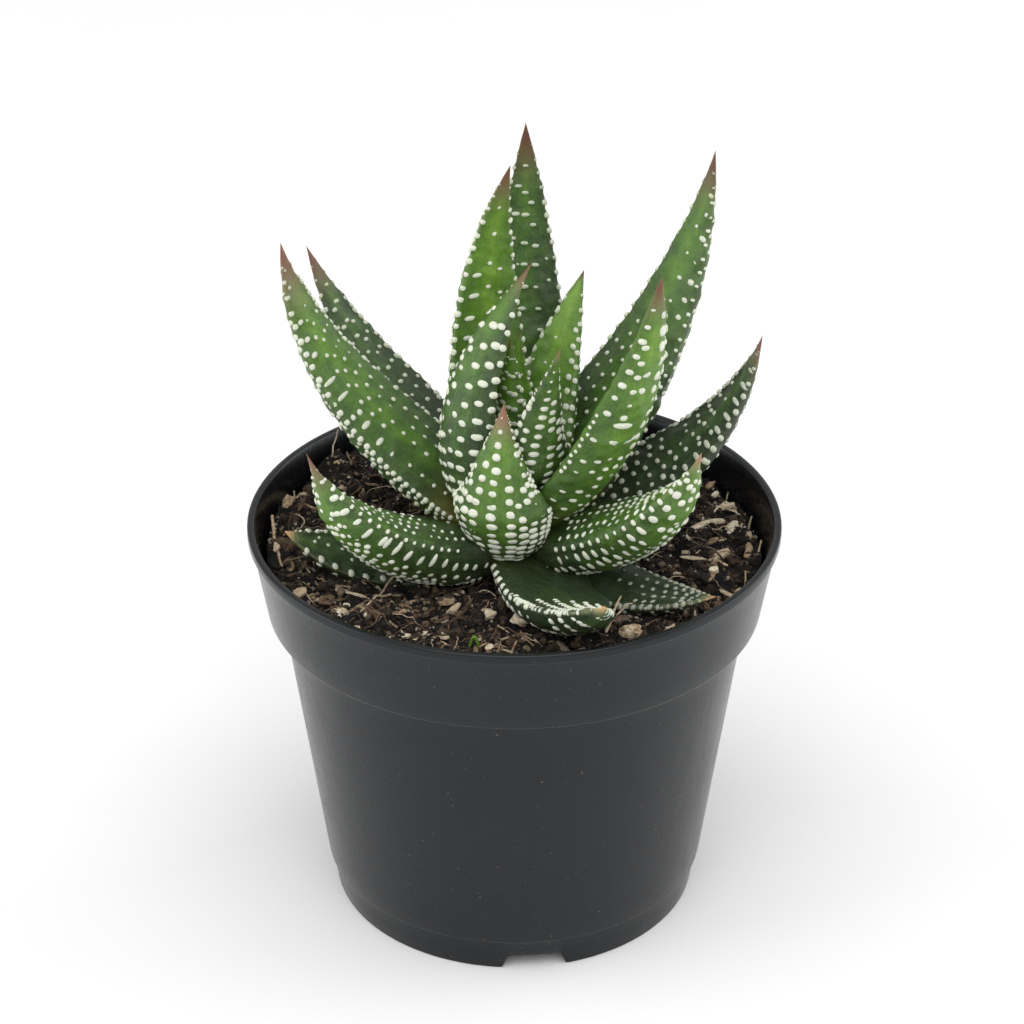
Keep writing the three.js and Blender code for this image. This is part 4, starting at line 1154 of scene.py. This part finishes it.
def turned(shapes, heading, tip, lean):
    """Each shape turned by its lean about its length, tipped up at one end, then turned to its
    heading. All in radians."""
    one, nil = np.ones(len(shapes)), np.zeros(len(shapes))

    def turning(angle, rows):
        """A matrix for each angle, written as rows of its cosine, its sine, - for minus that
        sine, 1 and 0."""
        c, s = np.cos(angle), np.sin(angle)
        look_up = {"c": c, "s": s, "-": -s, "1": one, "0": nil}
        return np.stack([np.stack([look_up[key] for key in row], -1) for row in rows], 1)

    whole = (turning(heading, ("c-0", "sc0", "001")) @ turning(tip, ("c0-", "010", "s0c"))
             @ turning(lean, ("100", "0c-", "0sc")))
    return np.einsum("cij,cpj->cpi", whole, shapes)


def chunks(centres, across, rings, around, jag, seed):
    """Broken grains: balls of rings of points, each point pushed in or out by its own seeded
    amount and by a slow wave, then stretched and turned at random."""
    draw = np.random.default_rng(seed)
    count = len(centres)
    round_ball, faces = ball(rings, around)
    phase = draw.uniform(0, 2 * np.pi, (count, 1, 3))
    pull = draw.normal(0, 1.8, (count, 3, 3))
    push = 1 + 0.12 * np.sin(np.einsum("cij,pj->cpi", pull, round_ball) + phase).sum(-1)
    push += draw.uniform(-jag, jag, push.shape)
    shape = round_ball[None] * push[..., None]
    stretch = [draw.uniform(0.75, 1.4, count), draw.uniform(0.6, 1.0, count),
               draw.uniform(0.4, 0.85, count)]
    shape = shape * np.stack(stretch, -1)[:, None] * across[:, None, None] / 2
    shape = turned(shape, draw.uniform(0, 2 * np.pi, count), draw.normal(0, 0.5, count),
                   draw.normal(0, 0.5, count))
    return shape + centres[:, None], faces


FLAKE_CORNERS = 8


def flakes(centres, long, wide, thick, heading, tip, lean, seed):
    """Thin broken plates: an outline of eight corners at ragged distances, stretched to its
    length and width and curled along its length, as two sheets joined at the rim."""
    draw = np.random.default_rng(seed)
    count = len(centres)
    long, wide, half = long[:, None], wide[:, None], thick[:, None] / 2
    turn = turns(FLAKE_CORNERS)
    reach = draw.uniform(0.62, 1.12, (count, FLAKE_CORNERS))
    x = reach * np.cos(turn) * long / 2
    y = reach * np.sin(turn) * wide / 2
    curl = draw.uniform(-0.10, 0.16, count)[:, None]
    z = curl * x ** 2 / np.maximum(long, 0.5) * 2
    z = z + draw.normal(0, 0.12, z.shape) * wide * 0.4
    rim = np.stack([x, y, z], -1)
    up = half[..., None] * [0, 0, 1]
    shape = np.concatenate([rim - up, rim + up, -up, up], 1)
    return turned(shape, heading, tip, lean) + centres[:, None], sealed(2, FLAKE_CORNERS)


STRAND_SIDES = 6


def strands(lines, radii):
    """Round strands along lines: a six-cornered section carried along each, closed at both ends
    by a point. lines is strand by step by place, and radii strand by step."""
    along = np.gradient(lines, axis=1)
    along /= np.linalg.norm(along, axis=-1)[..., None] + 1e-9
    side = np.cross(along, np.array([0.13, 0.07, 0.99]))
    side /= np.linalg.norm(side, axis=-1)[..., None] + 1e-9
    up = np.cross(side, along)
    turn = turns(STRAND_SIDES)[:, None]
    ring = side[:, :, None] * np.cos(turn) + up[:, :, None] * np.sin(turn)
    rings = lines[:, :, None] + radii[:, :, None, None] * ring
    total, steps = lines.shape[:2]
    ends = np.stack([lines[:, 0] - along[:, 0] * radii[:, :1] * 0.5,
                     lines[:, -1] + along[:, -1] * radii[:, -1:] * 0.5], 1)
    return (np.concatenate([rings.reshape(total, -1, 3), ends], 1),
            sealed(steps, STRAND_SIDES, True))


def litter(name, shapes, faces, finish, slot, shade, smooth=False):
    """Many shapes with the same faces as one piece that lies on the soil, with a shade each."""
    count, per = shapes.shape[:2]
    placed(piece(name, shapes.reshape(-1, 3), repeated(faces, per, count), finish,
                 {"shade": np.repeat(shade, per)}, smooth), slot)


# Crumbs by size: name, count, sizes from and to, how high they are heaped, rings and points round
# a grain, jag, finish, slot, the darkest shade and how far the paler ones spread.
CRUMBS = [
    ("peat_grit", 7500, (0.4, 1.1), 0.9, 2, 5, 0.18, POTTING_MIX, "soil_mix", 0.08, 0.21),
    ("peat_crumbs", 2200, (1.0, 2.3), 0, 3, 6, 0.16, POTTING_MIX, "soil_mix", 0.09, 0.14),
    ("peat_clods", 130, (2.2, 3.6), 0, 5, 9, 0.13, POTTING_MIX, "soil_mix", 0.12, 0.10),
    ("perlite_crumbs", 70, (0.5, 1.6), 0, 3, 6, 0.12, PERLITE, "perlite", 0.4, 0.3),
]

# Flat litter: name, count, lengths from and to, width as a share of the length from and to, the
# darkest shade, how far the paler ones spread, and seed.
FLAT_LITTER = [
    ("bark_flakes", 560, (1.0, 3.8), (0.4, 0.8), 0.04, 0.17, 51),
    ("bark_splinters", 520, (1.6, 6.5), (0.08, 0.20), 0.08, 0.22, 52),
]

FIBRES = 420
FIBRE_STEPS = 14
FIBRE_SEED = 31


def crumb_pieces():
    """Every size of crumb, the smallest lying on top of the largest."""
    for number, row in enumerate(CRUMBS):
        name, count, size, heaped, rings, around, jag, finish, slot, dark, spread = row
        draw = np.random.default_rng(40 + number)
        centres, across = strewn(size, count, draw, heaped)
        shapes = chunks(centres, across, rings, around, jag, 60 + number)
        shade = paled(dark, spread, 3.4, draw, len(centres))
        litter(name, *shapes, finish, slot, shade)


def flake_pieces():
    """Bark flakes, and splinters that are long and narrow, tilted every way."""
    for name, count, size, narrow, dark, spread, seed in FLAT_LITTER:
        draw = np.random.default_rng(seed)
        centres, long = strewn(size, count, draw)
        total = len(long)
        shapes = flakes(
            centres, long, long * draw.uniform(*narrow, total), draw.uniform(0.18, 0.4, total),
            draw.uniform(0, 2 * np.pi, total), draw.normal(0, 0.35, total),
            draw.normal(0, 0.5, total), seed + 10)
        litter(name, *shapes, BARK, "bark", paled(dark, spread, 3, draw, total))


def fibre_piece():
    """Root and peat fibres that wander over the soil. A fibre is an arc with a seeded heading,
    bend and lift."""
    draw = np.random.default_rng(FIBRE_SEED)
    r = np.sqrt(draw.uniform(0.05, 1, (FIBRES, 1))) * (inner_wall(SOIL_LEVEL) - 4)
    a = draw.uniform(0, 2 * np.pi, (FIBRES, 1))
    x0, y0 = r * np.cos(a), r * np.sin(a)
    length = draw.uniform(3, 12, (FIBRES, 1))
    heading = draw.uniform(0, 2 * np.pi, (FIBRES, 1))
    curl = draw.normal(0, 1.6, (FIBRES, 1))
    t = np.linspace(-0.5, 0.5, FIBRE_STEPS)
    turn = heading + curl * t + draw.normal(0, 0.15, (FIBRES, FIBRE_STEPS))
    step = length / FIBRE_STEPS
    x = x0 + np.cumsum(np.cos(turn), 1) * step
    y = y0 + np.cumsum(np.sin(turn), 1) * step
    lift = draw.uniform(0.1, 1.5, (FIBRES, 1)) * np.cos(np.pi * t) + 0.5
    line = np.stack([x, y, soil_height(x, y) * 0.4 + soil_height(x0, y0) * 0.6 + lift], -1)
    keep = np.hypot(x, y).max(1) < inner_wall(SOIL_LEVEL) - 1.2
    far = clear_of_leaves(line.reshape(-1, 3), np.full(x.size, 0.6))
    keep &= far.reshape(x.shape).all(1)
    thick = draw.uniform(0.04, 0.13, (FIBRES, 1)) * np.cos(np.pi * t * 0.86)
    shapes = strands(line[keep], thick[keep])
    litter("peat_fibres", *shapes, BARK, "bark", paled(0.14, 0.20, 2.5, draw, keep.sum()), True)


crumb_pieces()
flake_pieces()
fibre_piece()

# ---------------------------------------------------------------- what lies on the soil

# Dry stalks and twigs: places with the lift above the soil, half thickness from and to, shade.
STALKS = [
    ([(-48, 4.5, 3.6), (-47.2, -2, 1.6), (-45.3, -9.5, 0.5)], 0.42, 0.3, 0.55),
    ([(-37.4, 30.2, 0.2), (-37, 30.8, 2.6), (-36.2, 31.4, 5.4)], 0.22, 0.12, 0.72),
    ([(-44.2, 17.6, 0.1), (-44.5, 18.2, 3.2)], 0.3, 0.2, 0.62),
    ([(-23.2, -13, 1.6), (-26.2, -17.6, 1.3), (-31.2, -25.6, 0.6)], 0.36, 0.22, 0.6),
    ([(-21.8, -17.6, 1.2), (-26.6, -23, 1.7), (-29.4, -26.2, 0.6)], 0.28, 0.18, 0.66),
    ([(-35.4, -14.8, 0.5), (-31, -16.6, 0.9), (-26.6, -18.6, 0.6)], 0.3, 0.16, 0.46),
    ([(-36, -16.4, 0.5), (-32, -18.6, 0.8), (-28.4, -19.4, 0.4)], 0.22, 0.12, 0.62),
    ([(-41, -9, 0.6), (-38, -14.4, 0.9), (-36.6, -18.4, 0.4)], 0.26, 0.14, 0.7),
    ([(-12.6, -19.2, 0.5), (-9, -18, 1), (-5.8, -18.4, 0.9), (-2.2, -21.4, 0.5)],
     0.2, 0.1, 0.74),
    ([(-4, -34.2, 0.5), (1.6, -32.4, 1), (4.9, -33.9, 0.4)], 0.3, 0.18, 0.58),
    ([(-3.4, -28.8, 0.7), (-1, -32.8, 0.6)], 0.22, 0.12, 0.7),
    ([(-15.4, -34.4, 0.4), (-12.2, -36.4, 0.7)], 0.26, 0.16, 0.6),
    ([(17.2, -31.6, 0.3), (18.6, -27.4, 1.6), (20.2, -22.8, 3.2)], 0.34, 0.22, 0.62),
    ([(19.4, -26.2, 1), (21.6, -24.8, 1.9), (24, -24, 1.6)], 0.26, 0.14, 0.58),
    ([(48.2, -2.6, 0.1), (48.8, -1.2, 3)], 0.34, 0.22, 0.6),
    ([(44.8, -11.4, 0.2), (45.2, -9.8, 1.6)], 0.26, 0.16, 0.76),
    ([(43.4, 20.8, 0.2), (43.9, 21.4, 2.8)], 0.24, 0.14, 0.7),
    ([(46.9, 8.8, 0.3), (47.6, 9.6, 3.6)], 0.34, 0.2, 0.55),
    ([(38.4, -3.6, 0.5), (41.6, -1, 1.2), (43.6, 1.4, 0.5)], 0.3, 0.18, 0.72),
    ([(39.8, 14, 0.6), (42.6, 16.4, 1.4), (45.2, 15.2, 0.6)], 0.28, 0.14, 0.82),
    ([(40.4, 16.6, 0.6), (43.8, 14, 1.6), (45.8, 12.4, 0.5)], 0.24, 0.12, 0.88),
    ([(8, -39.8, 0.4), (12.6, -38.2, 0.9), (15.6, -39.4, 0.4)], 0.28, 0.16, 0.5),
]

# Chips on the soil: place, length, width, thickness, heading and tip in degrees, and shade.
CHIPS = [
    ((-13.3, -22.2), 4.6, 2.6, 0.5, -40, 18, 0.48), ((-11.6, -25), 3.6, 2, 0.4, 20, 25, 0.62),
    ((-17.6, -32.3), 2.2, 1.2, 0.4, 15, 10, 0.85), ((-16.4, -32), 1.6, 1, 0.4, 70, 0, 0.78),
    ((-20.7, -34.2), 2.6, 1.2, 0.5, -20, 14, 0.8), ((-19, -35.6), 2, 1, 0.4, 40, 8, 0.72),
    ((-23.3, -33.1), 1.8, 1.2, 0.4, 0, 12, 0.8), ((-4.9, -37.5), 2, 1.3, 0.4, 20, 10, 0.84),
    ((-3.6, -38.7), 1.8, 1, 0.4, -30, 12, 0.82), ((-7, -33.8), 1.6, 1.2, 0.5, 0, 15, 0.78),
    ((-14, -28.8), 3.2, 1.8, 0.5, 35, 22, 0.8), ((-23.6, -23.3), 1.6, 1.1, 0.4, 10, 0, 0.9),
    ((-28.3, -27.1), 1.5, 1, 0.4, 60, 5, 0.86), ((-32.2, -21.6), 1.7, 1.3, 0.6, 0, 0, 0.95),
    ((-37.4, -20.6), 2.2, 1.4, 0.5, 25, 20, 0.64), ((-13.6, -34.8), 3, 2, 0.5, -15, 10, 0.66),
    ((40.4, 25.2), 2.8, 1.7, 0.6, 20, 25, 0.42), ((41, 20), 2.2, 1.3, 0.5, 50, 12, 0.88),
    ((40.5, -2.2), 5, 3, 0.7, 30, 20, 0.66), ((38.9, -11.3), 2, 1.5, 0.8, 0, 10, 0.98),
    ((34.1, -1.1), 2.4, 1.6, 0.7, -30, 14, 0.7), ((31.8, -8.6), 1.6, 1.2, 0.7, 0, 0, 0.84),
    ((43.4, 15.3), 3.4, 2, 0.6, -10, 20, 0.8), ((46.4, -0.6), 3.2, 1.8, 0.6, 80, 55, 0.52),
    ((46.8, 4.2), 2.6, 1.6, 0.5, 60, 60, 0.6), ((43.4, -13.6), 2.8, 1.6, 0.5, 30, 24, 0.56),
    ((38.4, -17.4), 3.4, 2, 0.6, -20, 16, 0.48), ((33.4, -22), 2.4, 1.5, 0.5, 45, 20, 0.72),
    ((29.4, -29.6), 3, 1.8, 0.6, 10, 18, 0.6), ((20.2, -21), 3, 2.2, 0.7, 60, 30, 0.4),
    ((-45.4, 14), 4.2, 2.8, 0.8, 70, 35, 0.46), ((-43.2, 19.4), 3.6, 2.2, 0.7, 30, 30, 0.58),
    ((-46.6, -5), 3, 1.6, 0.5, 85, 30, 0.66), ((-41.2, -20.4), 3.4, 2.2, 0.6, 40, 20, 0.56),
    ((-30.4, -32.4), 3.2, 2, 0.5, -25, 16, 0.56), ((6.4, -41.6), 3, 1.8, 0.6, 5, 14, 0.54),
    ((16.6, -38.4), 2.6, 1.6, 0.5, 30, 20, 0.66), ((-9.4, -41.4), 2.6, 1.5, 0.5, -10, 12, 0.62),
]

# The grains of the CAD, with a shade each: place, size, turn and finish as there.
GRAINS = {
    "pebble_rear_left": ((-35.4, 29.2), (4.6, 3.8, 3.8), 20, PERLITE, "perlite", 0.45),
    "perlite_right": ((44.4, 8.2), (4.4, 3.6, 3.2), -15, PERLITE, "perlite", 0.85),
    "perlite_front_right": ((22, -31.2), (4.4, 3.4, 3), 10, PERLITE, "perlite", 0.5),
    "perlite_left": ((-33.4, -25.8), (3.8, 2.8, 2.4), 35, PERLITE, "perlite", 0.7),
    "bark_chip_front": ((0.8, -29.6), (4, 2.8, 2.2), -30, BARK, "bark", 0.72),
    "bark_chip_front_left": ((-5.4, -25), (5, 3, 2.2), 12, BARK, "bark", 0.78),
}
GRAIN_SINK = 0.2
GRAIN_RINGS = 40
GRAIN_SIDES = 56

STALK_STEPS = 22

STICK = ((34.6, 6.4), (42.4, 10.8))
STICK_RADIUS = 0.85
STICK_ARCH = 0.7
STICK_STEPS = 60
STICK_SIDES = 28

FLAKE_OUTLINE = [(-23, -13.2), (-31.4, -24.2), (-26, -26.8), (-20.2, -26)]
FLAKE_THICKNESS = 0.9
FLAKE_TILT = 12
FLAKE_STEPS = 120
FLAKE_RINGS = 16

SPROUT_START = (-8.6, -35.4)
SPROUT_REACH = (1.9, -0.5)
SPROUT_MIDDLE = (-8.1, -35.5)  # the soil's level is taken here
SPROUT_HEIGHT = 2.4
SPROUT_RADIUS = 0.3
SPROUT_STEPS = 16


def stalk_piece():
    """The stalks: each path is walked in even steps, swayed a little by seeded waves, and
    thickened at its nodes."""
    lines, radii = [], []
    for number, (places, thick, thin, _) in enumerate(STALKS):
        places = np.array(places, float)
        way = walked(places)
        t = np.linspace(0, way[-1], STALK_STEPS)
        x, y, lift = (np.interp(t, way, places[:, k]) for k in range(3))
        ground = np.interp(t, way, soil_height(places[:, 0], places[:, 1]))
        line = np.stack([x, y, ground + lift], -1)
        line += 0.08 * np.stack([waves(line, 3.5, 5, 100 + 3 * number + k) for k in range(3)], -1)
        lines.append(line)
        knots = 0.8 + 0.06 * waves(line, 1.6, 5, 300 + number)
        radii.append((thick + (thin - thick) * t / way[-1]) * knots)
    shapes = strands(np.array(lines), np.array(radii))
    litter("dry_stalks", *shapes, BARK, "bark", [row[-1] for row in STALKS])


def chip_piece():
    """The chips: flakes at listed places, lying on the crumbs."""
    places, long, wide, thick, heading, tip, shade = (np.array(v, float) for v in zip(*CHIPS))
    heading, tip = np.radians(heading), np.radians(tip)
    z = soil_height(places[:, 0], places[:, 1]) + 0.55 + long / 5 * np.sin(tip)
    lean = np.random.default_rng(77).normal(0, 0.3, len(CHIPS))
    shapes = flakes(np.column_stack([places, z]), long, wide, thick, heading, tip, lean, 78)
    litter("bark_chips", *shapes, BARK, "bark", shade)


def lone(node, points, faces, finish, slot, shade):
    """One larger piece on the soil in place of its CAD node."""
    placed(piece(node + "_fine", points, faces, finish, {"shade": shade}), slot, node)


def cad_middle(node):
    """The height of the middle of a CAD node."""
    low, high = np.array(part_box(node)) * MM
    return (low[2] + high[2]) / 2


def grain_pieces():
    """The larger grains: fine balls with the lumps of the CAD's, facets, and pits pressed in by
    seeded waves."""
    round_ball, faces = ball(GRAIN_RINGS, GRAIN_SIDES)
    px, py, pz = round_ball.T
    for number, (name, row) in enumerate(GRAINS.items()):
        (x, y), size, turn, finish, slot, shade = row
        lump = 0.12 * np.sin(3.1 * px + 2.3 * py + x) + 0.09 * np.sin(4.7 * pz - 2.9 * px + y)
        facets = 0.07 * np.abs(waves(round_ball, 1.1, 7, 400 + number))
        pits = 0.035 * waves(round_ball, 0.35, 12, 420 + number)
        shape = round_ball * (1 + lump - facets + pits)[:, None] * size / 2
        shape = turned(shape[None], np.radians([turn]), np.zeros(1), np.zeros(1))[0]
        shape += [x, y, max(cad_middle(name), cad_level(x, y) + GRAIN_SINK * size[2])]
        tone = shade + 0.12 * waves(round_ball, 0.8, 7, 440 + number)
        lone(name, shape, faces, finish, slot, tone)


def stick_piece():
    """The bark stick: a round section carried along an arched line, thinner at one end, its
    skin split into seeded ridges that run along it."""
    start, end = np.array(STICK)
    t = np.linspace(-1, 1, STICK_STEPS)[:, None]
    turn = turns(STICK_SIDES)
    radius = STICK_RADIUS * (0.875 - 0.125 * t) * (1 - 0.55 * np.abs(t) ** 14)
    ridge_place = np.stack([np.cos(turn) + 0 * t, np.sin(turn) + 0 * t, 0.25 * t + 0 * turn], -1)
    ridges = 1 + 0.10 * waves(ridge_place, 0.7, 9, 460) + 0.05 * waves(ridge_place, 0.25, 9, 461)
    long = np.linalg.norm(end - start)
    along = (end - start) / long
    height = cad_middle("bark_stick") - STICK_ARCH / 2 + STICK_ARCH * (1 - t * t)
    line = np.concatenate([(start + end) / 2 + t * along * long / 2, height], 1)
    side = np.array([-along[1], along[0], 0])
    ring = np.outer(np.cos(turn), side) + np.outer(np.sin(turn), [0, 0, 1])
    points, faces = tube(line[:, None] + (radius * ridges)[..., None] * ring, line[0], line[-1])
    shade = 0.72 + 0.14 * np.append(waves(ridge_place, 0.5, 9, 462), [0, 0])
    lone("bark_stick", points, faces, BARK, "bark", shade)


def bark_flake_piece():
    """The broad flake: its outline as rings that shrink to its middle, ragged at the rim, with
    grain ridges along it, as an upper and a lower sheet."""
    corners = np.array(FLAKE_OUTLINE, float)
    middle = corners.mean(0)
    closed = np.concatenate([corners, corners[:1]]) - middle
    way = walked(closed)
    t = np.linspace(0, way[-1], FLAKE_STEPS, endpoint=False)
    rim = np.stack([np.interp(t, way, closed[:, k]) for k in range(2)], -1)
    rim *= (0.97 + 0.03 * waves(rim, 2.4, 7, 470))[:, None]
    scale = np.linspace(1, 0.06, FLAKE_RINGS)[:, None]
    x, y = scale * rim[:, 0], scale * rim[:, 1]
    grain = np.stack([x * 0.9 - y * 0.4, (x * 0.4 + y * 0.9) * 0.15], -1)
    ridge = 0.10 * waves(grain, 1.1, 9, 471) + 0.05 * waves(grain, 0.5, 9, 472)
    thick = FLAKE_THICKNESS * (0.30 + 0.14 * np.minimum(1, (1 - scale) * 9))
    c, s = np.cos(np.radians(-FLAKE_TILT)), np.sin(np.radians(-FLAKE_TILT))
    height = cad_middle("bark_flake")
    below, above = (
        np.stack([middle[0] + x, middle[1] + y * c - z * s, height + y * s + z * c], -1)
        for z in (ridge - thick, ridge + thick))
    rings = np.concatenate([below[::-1], above])
    points, faces = tube(rings, rings[0].mean(0), rings[-1].mean(0))
    tone = 0.42 + 0.5 * np.concatenate([ridge[::-1].ravel(), ridge.ravel(), [0, 0]])
    lone("bark_flake", points, faces, BARK, "bark", tone)


def sprout_piece():
    """A green sprout that has just come up at the front: one small arc."""
    t = np.linspace(0, 1, SPROUT_STEPS)
    x, y = (start + reach * t for start, reach in zip(SPROUT_START, SPROUT_REACH))
    z = soil_height(*SPROUT_MIDDLE) + SPROUT_RADIUS + SPROUT_HEIGHT * np.sin(np.pi * t)
    shapes, faces = strands(np.stack([x, y, z], -1)[None], np.full((1, SPROUT_STEPS), SPROUT_RADIUS))
    fresh = {"fresh": np.full(len(shapes[0]), 0.8)}
    placed(piece("green_sprout", shapes[0], faces, LEAF_SKIN, fresh), "leaf_green")


stalk_piece()
chip_piece()
grain_pieces()
stick_piece()
bark_flake_piece()
sprout_piece()

# ---------------------------------------------------------------- stem

STEM_ROWS = 120
STEM_SIDES = 64


def stem_piece():
    """The stem: its profile turned about the rosette's axis, ringed by the scars of old
    leaves."""
    profile = np.array(STEM_PROFILE, float)
    low, high = profile[0, 1], profile[-1, 1]
    height = np.linspace(low, high, STEM_ROWS + 2)[1:-1, None]
    turn = turns(STEM_SIDES)
    scars = 1 - 0.03 * (1 + np.sin(height * 2.1 + 2 * turn))
    radius = np.interp(height, profile[:, 1], profile[:, 0]) * scars
    points, faces = tube(lathe(radius, height, turn, ROSETTE), [*ROSETTE, low], [*ROSETTE, high])
    placed(piece("stem_fine", points, faces, STEM_TISSUE), "stem_tissue", "stem")


stem_piece()

# ---------------------------------------------------------------- studio

FLOOR_HALF = 3000
AIR_STRENGTH = 0.64  # of the even white light from all round

# Name, place and target in metres, width, and power in watts.
SOFTBOXES = [
    ("top_softbox", (0.0, -0.8, 1.4), (0, 0, 0.05), 1.8, 17),
    ("left_softbox", (-1.3, -0.1, 0.6), (0, 0, 0.08), 1.2, 7.4),
    ("right_softbox", (1.3, 0.3, 0.6), (0, 0, 0.08), 1.2, 8),
]

# Fitted to the pot's rim and foot in the photo: metres, degrees, and the lens for a 36 mm sensor.
CAMERA_PLACE = (-0.00268, -0.51430, 0.37287)
CAMERA_DOWN = 29.357
CAMERA_TURN = -0.2473
CAMERA_LENS = 105.47
CAMERA_SENSOR = 36


def in_scene(name, data, place, turn):
    """An object at a place in metres, turned by three angles in radians."""
    made = bpy.data.objects.new(name, data)
    made.location = place
    made.rotation_euler = turn
    bpy.context.scene.collection.objects.link(made)
    return made


def softbox(name, place, target, width, power):
    """A square soft light at a place, facing a target."""
    lamp = bpy.data.lights.new(name, "AREA")
    lamp.shape = "SQUARE"
    lamp.size = width
    lamp.energy = power
    aim = np.subtract(target, place)
    aim /= np.linalg.norm(aim)
    in_scene(name, lamp, place, (np.arccos(-aim[2]), 0, np.arctan2(-aim[0], aim[1])))


corners = [(-1, -1, 0), (1, -1, 0), (1, 1, 0), (-1, 1, 0)]
piece("studio_floor", np.array(corners) * FLOOR_HALF, np.array([[0, 1, 2, 3]]), STUDIO_PAPER)

world = bpy.data.worlds.new("studio_air")
bpy.context.scene.world = world
world.use_nodes = True
air = world.node_tree.nodes["Background"].inputs
air["Color"].default_value = linear("#ffffff")
air["Strength"].default_value = AIR_STRENGTH

for row in SOFTBOXES:
    softbox(*row)

camera_data = bpy.data.cameras.new("camera")
camera_data.lens = CAMERA_LENS
camera_data.sensor_width = CAMERA_SENSOR
bpy.context.scene.camera = in_scene(
    "camera", camera_data, CAMERA_PLACE,
    (np.radians(90 - CAMERA_DOWN), 0, np.radians(CAMERA_TURN)))
bpy.context.scene.view_settings.view_transform = "Standard"
